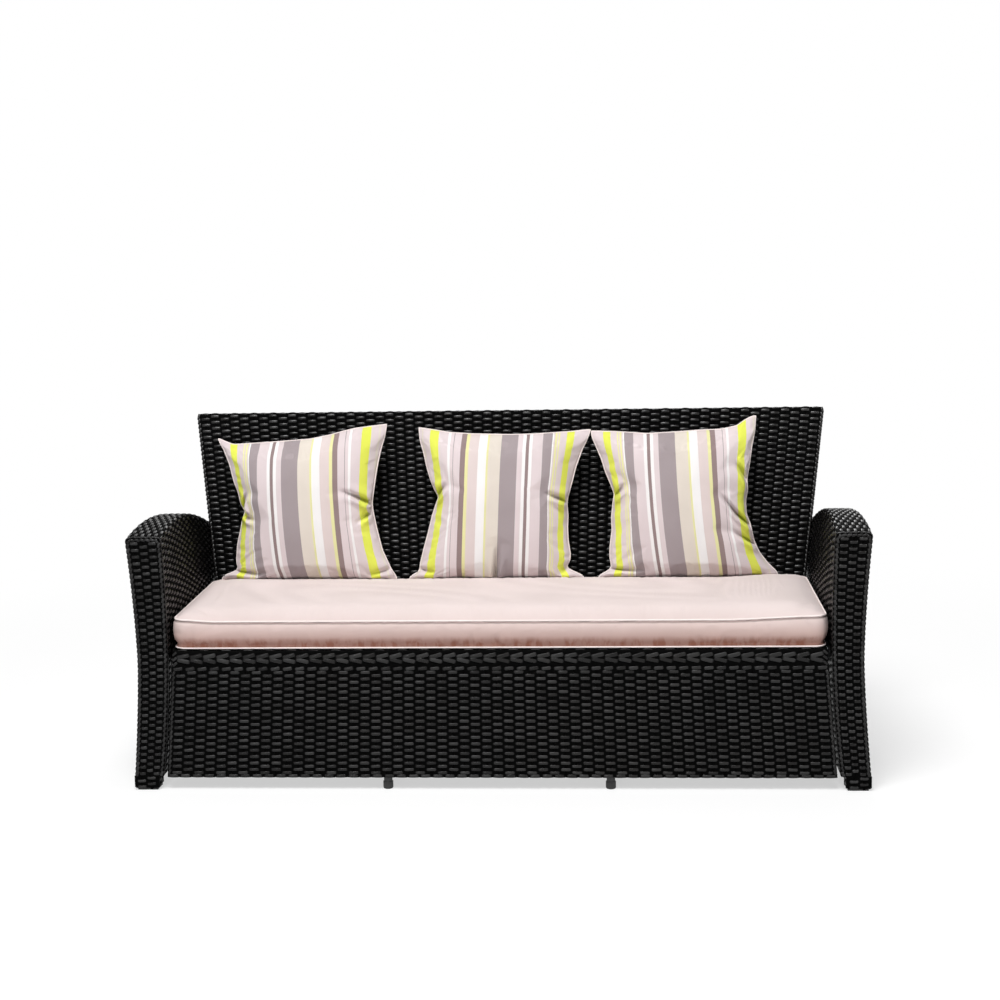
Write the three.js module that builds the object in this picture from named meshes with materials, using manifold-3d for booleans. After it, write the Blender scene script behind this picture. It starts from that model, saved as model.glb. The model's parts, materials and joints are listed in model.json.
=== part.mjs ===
// Rattan garden sofa: two woven arms, a raked woven back, a woven seat box with a front apron,
// one bench cushion and three scatter pillows. Millimetres, +Z up, +X to the sitter's left,
// the front faces -Y. Places along Y are written as distances behind the arms' front faces.
// The origin is on the floor under the middle of the whole sofa.
import * as THREE from 'three';
import { mergeVertices } from 'three/addons/utils/BufferGeometryUtils.js';
import Module from 'manifold-3d';

const wasm = await Module();
wasm.setup();

// Gaps, walls and cuts shared by the whole sofa
const clearance = 0.3;
const curvedClearance = 0.6;
const overrun = 5;
const skin = 3.5;
const tubeWall = 1.2;
const softGap = 0.6;

// Arms: upright slabs with a waisted front outline and an arched top
const arm = {
  length: 600,
  bottom: 36,
  frontHeight: 636,
  peakHeight: 650,
  peakFromFront: 178,
  rearHeight: 571.3,
  innerWaist: 808,
  outerWaist: 883,
  outerWaistHeight: 330,
  innerFlareLow: 29.4,
  innerFlareLowTop: 400,
  innerFlareHigh: 5,
  innerFlareHighStart: 450,
  outerFlareLow: 24,
  outerFlareHigh: 17,
  rearLean: 21,
  cornerRadius: 8,
  faceChamfer: 3,
};
const flareShares = { innerLow: 1.9, innerHigh: 2, outerLow: 1.4, outerHigh: 1.7 };
const armShares = { leastThickness: 0.8, fullRoomHeight: 0.5 };
const armSideSteps = 9;
const armLengthSteps = 8;
const cornerSteps = 3;

// Welded tube frame inside each arm
const armTube = { postDepth: 40, railHeight: 20, seatRailStart: 318, bottomRailRise: 6 };
const foot = { inner: 845, outer: 906, chamfer: 4, glideHeight: 3.5, plugHeight: 12 };

// Back: a flat woven panel that leans between the arms and widens upwards
const back = {
  bottom: 300,
  height: 872,
  thickness: 36,
  faceFromFront: 497,
  bottomHalfWidth: 784,
  topHalfWidth: 858,
  edgeRadius: 9,
  tubeWidth: 25,
};
const rakeAngle = THREE.MathUtils.degToRad(14.5);
const topRoundShare = 0.9;

// Seat box: a woven deck on four rails and two bearers
const seat = {
  top: 352,
  bandBottom: 313,
  front: 5,
  armGap: 11,
  edgeRadius: 5,
  railWidth: 25,
  railHeight: 25,
};
const ledger = { start: 50, end: 460, thickness: 3, width: 32, height: 27 };

// Apron: a woven panel that hangs under the front of the seat
const apron = { bottom: 32, topHalfWidth: 800, bottomHalfWidth: 824, railHeight: 20 };
const apronTop = seat.bandBottom - clearance;

// Middle legs under the bearers, with moulded caps
const leg = { spread: 275, radius: 10.5, rearInset: 22.5 };
const cap = { radius: 12.5, height: 18, floorThickness: 4, edgeRadius: 3 };
const roundSides = 16;

// Bolts that join the seat and the back to the arms
const bolt = { radius: 3, headRadius: 5.5, headHeight: 4, reach: 10 };
const boltSides = 12;
const ledgerBoltPlaces = { front: 80, rear: 430, height: 335 };
const backBoltPlaces = {
  upper: { fromFront: 565, height: 520 },
  lower: { fromFront: 509, height: 330 },
};

// Bench cushion: boxed sides between two rows of piping, with a crowned top
const bench = {
  front: 18,
  rear: 496,
  halfWidth: 791,
  seamHeight: 71,
  crown: 22,
  cornerRadius: 42,
  crownFall: 110,
  pipingRadius: 3,
  sideDraw: 4,
};
const benchShares = { fallCurve: 2.2, rings: [0.07, 0.18, 0.34, 0.58, 1, 1.8] };
const benchOutline = { cornerSteps: 6, frontSteps: 14, sideSteps: 6 };

// Scatter pillows: corners as places along X and heights above the bench cushion's seam
const pillow = {
  bottomFromFront: 455,
  topFromFront: 545,
  halfThickness: 64,
  edgeThickness: 1.6,
  topSag: 13,
};
const pillowShares = { puff: 0.42, sideCurve: 1.35, pinchPlace: 0.06 };
const pillowSteps = 16;
const pillowForms = {
  pillow_left: {
    bottomStart: 249, bottomEnd: 718, topStart: 233, topEnd: 665,
    topStartHeight: 397, topEndHeight: 433, startSag: 44, endSag: 58,
  },
  pillow_centre: {
    bottomStart: -258, bottomEnd: 207, topStart: -233, topEnd: 228,
    topStartHeight: 411, topEndHeight: 401, startSag: 62, endSag: 52,
  },
  pillow_right: {
    bottomStart: -767, bottomEnd: -294, topStart: -778, topEnd: -320,
    topStartHeight: 388, topEndHeight: 421, startSag: 64, endSag: 46,
  },
};

// Finishes
const finishes = {
  wicker: { color: 0x17171a, roughness: 0.42, metalness: 0 },
  steel: { color: 0x1c1c1e, roughness: 0.5, metalness: 0.4 },
  zinc: { color: 0x9a9ba0, roughness: 0.35, metalness: 0.9 },
  plastic: { color: 0x101012, roughness: 0.55, metalness: 0 },
  cushion: { color: 0xd8c7bd, roughness: 0.9, metalness: 0 },
  stripe: { color: 0xc9c0c0, roughness: 0.9, metalness: 0 },
};

const sofa = new THREE.Group();

function addPiece(name, geometry, finish, parent = sofa) {
  const piece = new THREE.Mesh(geometry, new THREE.MeshStandardMaterial(finishes[finish]));
  piece.name = name;
  parent.add(piece);
  return piece;
}

// Closed solids and their cuts

function signedVolume(positions, indices) {
  const corners = [new THREE.Vector3(), new THREE.Vector3(), new THREE.Vector3()];
  let total = 0;
  for (let i = 0; i < indices.length; i += corners.length) {
    corners.forEach((corner, k) => corner.fromArray(positions, indices[i + k] * corners.length));
    total += corners[0].dot(corners[1].cross(corners[2]));
  }
  return total;
}

function closedGeometry(points, triangles) {
  const positions = points.flatMap((point) => point.toArray());
  const facesIn = signedVolume(positions, triangles.flat()) < 0;
  const indices = triangles.flatMap(([a, b, c]) => (facesIn ? [a, c, b] : [a, b, c]));
  const geometry = new THREE.BufferGeometry();
  geometry.setAttribute('position', new THREE.Float32BufferAttribute(positions, 3));
  geometry.setIndex(indices);
  return geometry;
}

// A skin through rings of points that have the same count, closed by a flat face at each end
function loft(rings) {
  const count = rings[0].length;
  const triangles = [];
  for (let r = 0; r + 1 < rings.length; r += 1) {
    for (let k = 0; k < count; k += 1) {
      const a = r * count + k;
      const b = r * count + ((k + 1) % count);
      triangles.push([a, b, b + count], [a, b + count, a + count]);
    }
  }
  const ends = [0, (rings.length - 1) * count];
  ends.forEach((start, end) => {
    for (let k = 1; k + 1 < count; k += 1) {
      const fan = [start, start + k, start + k + 1];
      triangles.push(end ? fan : [fan[0], fan[2], fan[1]]);
    }
  });
  return closedGeometry(rings.flat(), triangles);
}

function toSolid(geometry) {
  const bare = geometry.clone();
  bare.deleteAttribute('normal');
  bare.deleteAttribute('uv');
  const merged = mergeVertices(bare);
  return new wasm.Manifold(new wasm.Mesh({
    numProp: 3,
    vertProperties: new Float32Array(merged.attributes.position.array),
    triVerts: new Uint32Array(merged.index.array),
  }));
}

function toGeometry(solid) {
  const mesh = solid.getMesh();
  const geometry = new THREE.BufferGeometry();
  geometry.setAttribute('position', new THREE.BufferAttribute(mesh.vertProperties, 3));
  geometry.setIndex(new THREE.BufferAttribute(mesh.triVerts, 1));
  return geometry;
}

const cut = (body, tool) => toGeometry(toSolid(body).subtract(toSolid(tool)));
const join = (a, b) => toGeometry(toSolid(a).add(toSolid(b)));

// Rings of four corners, level in Z or upright in Y
const levelRing = (x0, x1, y0, y1, z) => [
  new THREE.Vector3(x0, y0, z), new THREE.Vector3(x1, y0, z),
  new THREE.Vector3(x1, y1, z), new THREE.Vector3(x0, y1, z),
];
const uprightRing = (x0, x1, z0, z1, y) => [
  new THREE.Vector3(x0, y, z0), new THREE.Vector3(x1, y, z0),
  new THREE.Vector3(x1, y, z1), new THREE.Vector3(x0, y, z1),
];

// A tube whose outline changes along its length; ringAt(place, inset) gives the outline there
function hollowLoft(places, ringAt, direction) {
  const outer = places.map((place) => ringAt(place, 0));
  const inner = places.map((place) => ringAt(place, tubeWall));
  inner[0].forEach((point) => point.addScaledVector(direction, -overrun));
  inner[inner.length - 1].forEach((point) => point.addScaledVector(direction, overrun));
  return cut(loft(outer), loft(inner));
}

// A straight rectangular tube between two corners, open at both ends of the named axis
function boxTube(low, high, axis) {
  if (axis === 'x') {
    const ringAt = (x, inset) => [
      new THREE.Vector3(x, low.y + inset, low.z + inset),
      new THREE.Vector3(x, high.y - inset, low.z + inset),
      new THREE.Vector3(x, high.y - inset, high.z - inset),
      new THREE.Vector3(x, low.y + inset, high.z - inset),
    ];
    return hollowLoft([low.x, high.x], ringAt, new THREE.Vector3(1, 0, 0));
  }
  const ringAt = (y, inset) =>
    uprightRing(low.x + inset, high.x - inset, low.z + inset, high.z - inset, y);
  return hollowLoft([low.y, high.y], ringAt, new THREE.Vector3(0, 1, 0));
}

const upwards = new THREE.Vector3(0, 0, 1);
const backwards = new THREE.Vector3(0, 1, 0);
const spread = (from, to, steps) =>
  Array.from({ length: steps + 1 }, (_, k) => THREE.MathUtils.lerp(from, to, k / steps));
const box = (x0, x1, y0, y1, z0, z1) => loft([levelRing(x0, x1, y0, y1, z0), levelRing(x0, x1, y0, y1, z1)]);

// Shapes that several pieces follow

const backFace = (z) => back.faceFromFront + Math.tan(rakeAngle) * (z - seat.top);
const backEdge = (z) => THREE.MathUtils.mapLinear(
  z, back.bottom, back.height, back.bottomHalfWidth, back.topHalfWidth);

function archHeight(y) {
  const end = y < arm.peakFromFront
    ? { height: arm.frontHeight, away: arm.peakFromFront }
    : { height: arm.rearHeight, away: arm.length - arm.peakFromFront };
  return THREE.MathUtils.lerp(
    arm.peakHeight, end.height, ((y - arm.peakFromFront) / end.away) ** 2);
}

// The arm's inner face leans out towards the rear, and further where the back's edge needs room
function innerFace(z, y) {
  const low = Math.max(0, 1 - z / arm.innerFlareLowTop);
  const high = Math.max(0, z - arm.innerFlareHighStart) / (arm.frontHeight - arm.innerFlareHighStart);
  const front = arm.innerWaist + arm.innerFlareLow * low ** flareShares.innerLow
    + arm.innerFlareHigh * high ** flareShares.innerHigh;
  const lean = arm.rearLean * high * THREE.MathUtils.clamp(y / arm.length, 0, 1);
  const level = (z - arm.bottom) / (armShares.fullRoomHeight * back.bottom);
  const room = Math.max(0, backEdge(z) + curvedClearance - front)
    * THREE.MathUtils.clamp(level, 0, 1) * Math.max(0, y / backFace(back.bottom));
  return front + Math.max(lean, room);
}

function outerFace(z, y) {
  const low = Math.max(0, 1 - z / arm.outerWaistHeight);
  const high = Math.max(0, z - arm.outerWaistHeight) / (arm.frontHeight - arm.outerWaistHeight);
  const front = arm.outerWaist + arm.outerFlareLow * low ** flareShares.outerLow
    + arm.outerFlareHigh * high ** flareShares.outerHigh;
  const waist = arm.outerWaist - arm.innerWaist;
  return Math.max(front, innerFace(z, y) + armShares.leastThickness * waist);
}

const apronEdge = (z) => THREE.MathUtils.mapLinear(
  z, apron.bottom, apronTop, apron.bottomHalfWidth, apron.topHalfWidth);

// Arms

function cornerArc(centreX, centreZ, radius, y, fromTurn) {
  return spread(fromTurn, fromTurn - Math.PI / 2, cornerSteps).map((turn) =>
    new THREE.Vector3(centreX + radius * Math.cos(turn), y, centreZ + radius * Math.sin(turn)));
}

function armRing(y, inset, bottom) {
  const radius = arm.cornerRadius - inset;
  const shoulder = archHeight(y) - arm.cornerRadius;
  const levels = spread(bottom, shoulder, armSideSteps).slice(0, -1);
  const inner = levels.map((z) => new THREE.Vector3(innerFace(z, y) + inset, y, z));
  const outer = levels.map((z) => new THREE.Vector3(outerFace(z, y) - inset, y, z)).reverse();
  const innerCentre = innerFace(shoulder, y) + arm.cornerRadius;
  const outerCentre = outerFace(shoulder, y) - arm.cornerRadius;
  return [
    ...inner,
    ...cornerArc(innerCentre, shoulder, radius, y, Math.PI),
    ...cornerArc(outerCentre, shoulder, radius, y, Math.PI / 2),
    ...outer,
  ];
}

const armPlaces = spread(0, arm.length, armLengthSteps).slice(1, -1);

function armSkin() {
  const { length, faceChamfer, bottom } = arm;
  const outer = [
    armRing(0, faceChamfer, bottom),
    ...[faceChamfer, ...armPlaces, length - faceChamfer].map((y) => armRing(y, 0, bottom)),
    armRing(length, faceChamfer, bottom),
  ];
  const cavity = [skin, ...armPlaces, length - skin].map((y) => armRing(y, skin, bottom));
  const mouth = cavity.map((ring) => ring.map((point, k) => (
    k === 0 || k === ring.length - 1 ? point.clone().setZ(bottom - overrun) : point)));
  return cut(loft(outer), loft(mouth));
}

const postFoot = {
  inner: foot.inner + skin + curvedClearance,
  outer: outerFace(arm.bottom, 0) - skin - curvedClearance,
};

function postRing(z, y0, y1, inset) {
  const flare = innerFace(z, y1) + skin + curvedClearance;
  const x0 = Math.max(flare, postFoot.inner - Math.max(0, z - arm.bottom));
  const x1 = outerFace(Math.max(z, arm.bottom), y0) - skin - curvedClearance;
  return levelRing(x0 + inset, x1 - inset, y0 + inset, y1 - inset, z);
}

const railTop = (y) => archHeight(y) - skin - clearance;
const bottomRailStart = arm.bottom + armTube.bottomRailRise;
const frontPost = { y0: skin + clearance, y1: skin + clearance + armTube.postDepth };
const rearPost = {
  y0: arm.length - skin - clearance - armTube.postDepth,
  y1: arm.length - skin - clearance,
};

function armPost({ y0, y1 }) {
  const top = Math.min(railTop(y0), railTop(y1)) - armTube.railHeight - clearance;
  const places = [
    foot.glideHeight + clearance,
    ...spread(arm.bottom, top, armSideSteps + 1),
  ];
  return hollowLoft(places, (z, inset) => postRing(z, y0, y1, inset), upwards);
}

function armTopRail() {
  const places = [frontPost.y0, ...armPlaces, rearPost.y1];
  const ringAt = (y, inset) => {
    const top = railTop(y);
    const low = top - armTube.railHeight;
    return uprightRing(
      innerFace(top, y) + skin + arm.cornerRadius + inset,
      outerFace(low, y) - skin - arm.cornerRadius - inset,
      low + inset, top - inset, y);
  };
  return hollowLoft(places, ringAt, backwards);
}

function armSideRail(low, high) {
  const start = frontPost.y1 + clearance;
  const end = rearPost.y0 - clearance;
  const places = [start, ...armPlaces.filter((y) => y > start && y < end), end];
  const ringAt = (y, inset) => uprightRing(
    Math.max(innerFace(low, y), innerFace(high, y)) + skin + curvedClearance + inset,
    Math.min(outerFace(low, y), outerFace(high, y)) - skin - curvedClearance - inset,
    low + inset, high - inset, y);
  return hollowLoft(places, ringAt, backwards);
}

function footWrap({ y0, y1 }) {
  const start = foot.glideHeight + clearance;
  const front = y0 - clearance - skin;
  const rear = y1 + clearance + skin;
  const sleeve = loft([
    levelRing(foot.inner + foot.chamfer, foot.outer - foot.chamfer, front + foot.chamfer,
      rear - foot.chamfer, start),
    levelRing(foot.inner, foot.outer, front, rear, start + foot.chamfer),
    levelRing(foot.inner, foot.outer, front, rear, arm.bottom - clearance),
  ]);
  const hole = box(postFoot.inner - clearance, postFoot.outer + clearance,
    y0 - clearance, y1 + clearance, start - overrun, arm.bottom + overrun);
  return cut(sleeve, hole);
}

function footGlide({ y0, y1 }) {
  const room = tubeWall + clearance;
  const plate = box(postFoot.inner, postFoot.outer, y0, y1, 0, foot.glideHeight);
  const plug = box(postFoot.inner + room, postFoot.outer - room, y0 + room, y1 - room,
    foot.glideHeight / 2, foot.glideHeight + foot.plugHeight);
  return join(plate, plug);
}

function mirrored(geometry, side) {
  if (side > 0) return geometry;
  const flipped = mergeVertices(geometry.clone());
  flipped.scale(-1, 1, 1);
  const { array } = flipped.index;
  for (let i = 0; i < array.length; i += 3) [array[i], array[i + 1]] = [array[i + 1], array[i]];
  return flipped;
}

function addArm(sideName, side) {
  const add = (name, geometry, finish) =>
    addPiece(`arm_${sideName}_${name}`, mirrored(geometry, side), finish);
  return {
    wicker: add('wicker', armSkin(), 'wicker'),
    frontPost: add('front_post', armPost(frontPost), 'steel'),
    rearPost: add('rear_post', armPost(rearPost), 'steel'),
    topRail: add('top_rail', armTopRail(), 'steel'),
    seatRail: add('seat_rail', armSideRail(armTube.seatRailStart,
      armTube.seatRailStart + seat.railHeight), 'steel'),
    bottomRail: add('bottom_rail', armSideRail(bottomRailStart,
      bottomRailStart + armTube.railHeight), 'steel'),
    footFront: add('front_foot_wrap', footWrap(frontPost), 'wicker'),
    footRear: add('rear_foot_wrap', footWrap(rearPost), 'wicker'),
    glideFront: add('front_glide', footGlide(frontPost), 'plastic'),
    glideRear: add('rear_glide', footGlide(rearPost), 'plastic'),
  };
}

// Back, built upright in its own frame and then leaned

const slope = (back.height - back.bottom) / Math.cos(rakeAngle);
const backHalfWidth = (rise) => THREE.MathUtils.mapLinear(
  rise, 0, slope, back.bottomHalfWidth, back.topHalfWidth);
const backDepth = { start: skin + clearance, end: back.thickness - skin - clearance };
const backTopRailStart = slope - skin - clearance - back.tubeWidth;

function roundedRing(halfWidth, y0, y1, radius, z) {
  const centres = [
    [halfWidth - radius, y1 - radius, 0], [radius - halfWidth, y1 - radius, Math.PI / 2],
    [radius - halfWidth, y0 + radius, Math.PI], [halfWidth - radius, y0 + radius, -Math.PI / 2],
  ];
  return centres.flatMap(([x, y, turn]) => spread(turn, turn + Math.PI / 2, cornerSteps)
    .map((a) => new THREE.Vector3(x + radius * Math.cos(a), y + radius * Math.sin(a), z)));
}

function backSkin() {
  const { edgeRadius, thickness } = back;
  const ringAt = (z, inset) => roundedRing(
    backHalfWidth(z) - inset, inset, thickness - inset, edgeRadius, z);
  const crown = spread(0, Math.PI / 2, cornerSteps).map((turn) => ringAt(
    slope - edgeRadius + edgeRadius * Math.sin(turn) * topRoundShare,
    (edgeRadius - edgeRadius * Math.cos(turn)) * topRoundShare));
  const room = (z) => levelRing(
    skin - backHalfWidth(z), backHalfWidth(z) - skin, skin, thickness - skin, z);
  return cut(loft([ringAt(0, 0), ...crown]), loft([room(-overrun), room(slope - skin)]));
}

function backStile(side) {
  const edge = (z) => backHalfWidth(z) - skin - curvedClearance;
  const ringAt = (z, inset) => levelRing(
    edge(z) - back.tubeWidth + inset, edge(z) - inset,
    backDepth.start + inset, backDepth.end - inset, z);
  return mirrored(hollowLoft([0, backTopRailStart - clearance], ringAt, upwards), side);
}

function addBack() {
  const frame = new THREE.Group();
  frame.position.set(0, backFace(back.bottom), back.bottom);
  frame.rotation.x = -rakeAngle;
  sofa.add(frame);
  const { start, end } = backDepth;
  const railHalf = backHalfWidth(backTopRailStart) - skin - curvedClearance;
  const bottomHalf = backHalfWidth(0) - skin - curvedClearance - back.tubeWidth - clearance;
  const rail = (half, low) => boxTube(
    new THREE.Vector3(-half, start, low),
    new THREE.Vector3(half, end, low + back.tubeWidth), 'x');
  const centreRing = (z, inset) => levelRing(
    inset - back.tubeWidth / 2, back.tubeWidth / 2 - inset, start + inset, end - inset, z);
  return {
    wicker: addPiece('back_wicker', backSkin(), 'wicker', frame),
    topRail: addPiece('back_top_rail', rail(railHalf, backTopRailStart), 'steel', frame),
    bottomRail: addPiece('back_bottom_rail', rail(bottomHalf, 0), 'steel', frame),
    stileLeft: addPiece('back_stile_left', backStile(1), 'steel', frame),
    stileRight: addPiece('back_stile_right', backStile(-1), 'steel', frame),
    stileCentre: addPiece('back_stile_centre', hollowLoft(
      [back.tubeWidth + clearance, backTopRailStart - clearance], centreRing, upwards),
    'steel', frame),
  };
}

// Seat box

const seatHalfWidth = arm.innerWaist - seat.armGap;
const seatRear = backFace(seat.bandBottom) - clearance;
const railZ = { high: seat.top - skin - clearance };
railZ.low = railZ.high - seat.railHeight;
const frontRailY = seat.front + skin + clearance;
const rearRailY = seatRear - skin - clearance - seat.railWidth;
const sideRailY = { start: frontRailY + seat.railWidth + clearance, end: rearRailY - clearance };

// A flat outline in Y and Z, drawn out along X between two places
function alongX(outline, from, to) {
  return loft([from, to].map((x) => outline.map(([y, z]) => new THREE.Vector3(x, y, z))));
}

function deckSkin() {
  const roundCorner = (y, z, radius, turn) => spread(turn, turn - Math.PI / 2, cornerSteps)
    .map((a) => [y + radius * Math.cos(a), z + radius * Math.sin(a)]);
  const { front, edgeRadius, top, bandBottom } = seat;
  const block = alongX([
    [front, bandBottom],
    ...roundCorner(front + edgeRadius, top - edgeRadius, edgeRadius, Math.PI),
    ...roundCorner(seatRear - edgeRadius, top - edgeRadius, edgeRadius, Math.PI / 2),
    [seatRear, bandBottom],
  ], -seatHalfWidth, seatHalfWidth);
  const room = box(-seatHalfWidth - overrun, seatHalfWidth + overrun,
    front + skin, seatRear - skin, bandBottom - overrun, top - skin);
  return cut(block, room);
}

function addSeat() {
  const across = (y) => boxTube(
    new THREE.Vector3(-seatHalfWidth, y, railZ.low),
    new THREE.Vector3(seatHalfWidth, y + seat.railWidth, railZ.high), 'x');
  const lengthwise = (x) => boxTube(
    new THREE.Vector3(x, sideRailY.start, railZ.low),
    new THREE.Vector3(x + seat.railWidth, sideRailY.end, railZ.high), 'y');
  addPiece('seat_deck_wicker', deckSkin(), 'wicker');
  addPiece('seat_front_rail', across(frontRailY), 'steel');
  addPiece('seat_rear_rail', across(rearRailY), 'steel');
  addPiece('seat_side_rail_left', lengthwise(seatHalfWidth - seat.railWidth), 'steel');
  addPiece('seat_side_rail_right', lengthwise(-seatHalfWidth), 'steel');
  addPiece('seat_bearer_left', lengthwise(leg.spread - seat.railWidth / 2), 'steel');
  addPiece('seat_bearer_right', lengthwise(-leg.spread - seat.railWidth / 2), 'steel');
}

// Middle legs and their caps

const legPlaces = {
  front: frontRailY + seat.railWidth / 2,
  rear: rearRailY - clearance - leg.rearInset,
};

function legTube(places, radius) {
  const outline = new THREE.Shape().absarc(0, 0, radius, 0, Math.PI * 2);
  outline.holes.push(new THREE.Path().absarc(0, 0, radius - tubeWall, 0, Math.PI * 2));
  const depth = places.top - places.bottom;
  const tube = new THREE.ExtrudeGeometry(
    outline, { depth, bevelEnabled: false, curveSegments: roundSides });
  return tube.translate(0, 0, places.bottom);
}

function legCap() {
  const inner = leg.radius + clearance;
  const arc = spread(-Math.PI / 2, 0, cornerSteps).map((turn) => new THREE.Vector2(
    cap.radius - cap.edgeRadius + cap.edgeRadius * Math.cos(turn),
    cap.edgeRadius + cap.edgeRadius * Math.sin(turn)));
  const profile = [
    new THREE.Vector2(0, 0), ...arc, new THREE.Vector2(cap.radius, cap.height),
    new THREE.Vector2(inner, cap.height), new THREE.Vector2(inner, cap.floorThickness),
    new THREE.Vector2(0, cap.floorThickness),
  ];
  return new THREE.LatheGeometry(profile, roundSides).rotateX(Math.PI / 2);
}

function addLegs() {
  const places = { bottom: cap.floorThickness + clearance, top: railZ.low - clearance };
  Object.entries(legPlaces).forEach(([row, y]) => {
    Object.entries({ left: leg.spread, right: -leg.spread }).forEach(([sideName, x]) => {
      addPiece(`leg_${row}_${sideName}`, legTube(places, leg.radius), 'steel')
        .position.set(x, y, 0);
      addPiece(`leg_cap_${row}_${sideName}`, legCap(), 'plastic').position.set(x, y, 0);
    });
  });
}

// Apron under the seat's front, woven round its own tubes

function addApron() {
  const { bottom, railHeight } = apron;
  const depth = skin + clearance + seat.railWidth;
  const ringAt = (z) => levelRing(
    -apronEdge(z), apronEdge(z), seat.front, seat.front + depth, z);
  const roomAt = (z) => levelRing(
    skin - apronEdge(z), apronEdge(z) - skin, seat.front + skin, seat.front + depth + overrun, z);
  const panel = cut(
    loft([ringAt(bottom), ringAt(apronTop)]),
    loft([roomAt(bottom + skin), roomAt(apronTop + overrun)]));
  const low = bottom + skin + clearance;
  const edge = (z) => apronEdge(z) - skin - curvedClearance;
  const stileRing = (z, inset) => levelRing(
    edge(z) - seat.railWidth + inset, edge(z) - inset,
    frontRailY + inset, frontRailY + seat.railWidth - inset, z);
  const stile = hollowLoft([low, railZ.low - clearance], stileRing, upwards);
  addPiece('apron_stile_left', mirrored(stile, 1), 'steel');
  addPiece('apron_stile_right', mirrored(stile, -1), 'steel');

  const half = edge(low + railHeight) - seat.railWidth - clearance;
  const rail = boxTube(
    new THREE.Vector3(-half, frontRailY, low),
    new THREE.Vector3(half, frontRailY + seat.railWidth, low + railHeight), 'x');
  const drillRadius = leg.radius + curvedClearance;
  const drill = new THREE.CylinderGeometry(
    drillRadius, drillRadius, railHeight + overrun * 2, roundSides);
  drill.rotateX(Math.PI / 2);
  const passLegs = (body) => [leg.spread, -leg.spread].reduce((rest, x) => cut(rest, drill.clone()
    .translate(x, legPlaces.front, low + railHeight / 2)), body);
  addPiece('apron_wicker', passLegs(panel), 'wicker');
  addPiece('apron_rail', passLegs(rail), 'steel');
}

// Angle ledgers that carry the seat on the arms

const ledgerFace = innerFace(railZ.high, 0) - clearance;

function addLedgers() {
  const top = railZ.low - clearance;
  const low = top - ledger.thickness;
  const { start, end, thickness, width, height } = ledger;
  const flange = box(ledgerFace - width, ledgerFace, start, end, low, top);
  const web = box(ledgerFace - thickness, ledgerFace, start, end, low, low + height);
  const angle = join(flange, web);
  return {
    left: addPiece('seat_ledger_left', mirrored(angle, 1), 'steel'),
    right: addPiece('seat_ledger_right', mirrored(angle, -1), 'steel'),
  };
}

// Bolts along X: the head's inner face is at headX, and the shank runs outwards to tipX

function boltGeometry(headX, tipX) {
  const { radius, headRadius, headHeight } = bolt;
  const profile = [
    new THREE.Vector2(0, headX - headHeight), new THREE.Vector2(headRadius, headX - headHeight),
    new THREE.Vector2(headRadius, headX), new THREE.Vector2(radius, headX),
    new THREE.Vector2(radius, tipX), new THREE.Vector2(0, tipX),
  ];
  return new THREE.LatheGeometry(profile, boltSides).rotateZ(-Math.PI / 2);
}

function boltHole(headX, tipX) {
  const radius = bolt.radius + clearance;
  const length = tipX - headX + overrun;
  const hole = new THREE.CylinderGeometry(radius, radius, length, boltSides);
  return hole.rotateZ(-Math.PI / 2).translate(headX + length / 2, 0, 0);
}

function drillPiece(piece, hole, side, y, z) {
  piece.updateWorldMatrix(true, false);
  const tool = mirrored(toGeometry(toSolid(hole)).translate(0, y, z), side);
  tool.applyMatrix4(piece.matrixWorld.clone().invert());
  piece.geometry = cut(piece.geometry, tool);
}

function addBolt(name, side, place, headX, tipX, pieces) {
  const geometry = toGeometry(toSolid(boltGeometry(headX, tipX)));
  geometry.translate(0, place.fromFront, place.height);
  addPiece(name, mirrored(geometry, side), 'zinc');
  const hole = boltHole(headX, tipX);
  pieces.forEach((piece) => drillPiece(piece, hole, side, place.fromFront, place.height));
}

function addBolts(sideName, side, armPieces, backPieces, ledgerPiece) {
  const { front, rear, height } = ledgerBoltPlaces;
  const headX = ledgerFace - ledger.thickness - clearance;
  Object.entries({ front, rear }).forEach(([row, fromFront]) => {
    const tipX = innerFace(height, fromFront) + skin + bolt.reach;
    addBolt(`ledger_bolt_${row}_${sideName}`, side, { fromFront, height }, headX, tipX,
      [ledgerPiece, armPieces.wicker, armPieces.seatRail]);
  });
  const stile = side > 0 ? backPieces.stileLeft : backPieces.stileRight;
  const post = { upper: armPieces.rearPost, lower: armPieces.seatRail };
  Object.entries(backBoltPlaces).forEach(([row, place]) => {
    const rise = (place.height - back.bottom) / Math.cos(rakeAngle);
    const head = backHalfWidth(rise) - skin - curvedClearance - tubeWall - bolt.headHeight;
    const tip = innerFace(place.height, place.fromFront) + skin + bolt.reach;
    addBolt(`back_bolt_${row}_${sideName}`, side, place, head, tip,
      [stile, backPieces.wicker, armPieces.wicker, post[row]]);
  });
}

// Bench cushion

const benchBottom = seat.top + softGap;
const benchSeam = benchBottom + bench.seamHeight;
const benchCentre = (bench.front + bench.rear) / 2;
const benchHalf = { x: bench.halfWidth, y: (bench.rear - bench.front) / 2 };

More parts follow.
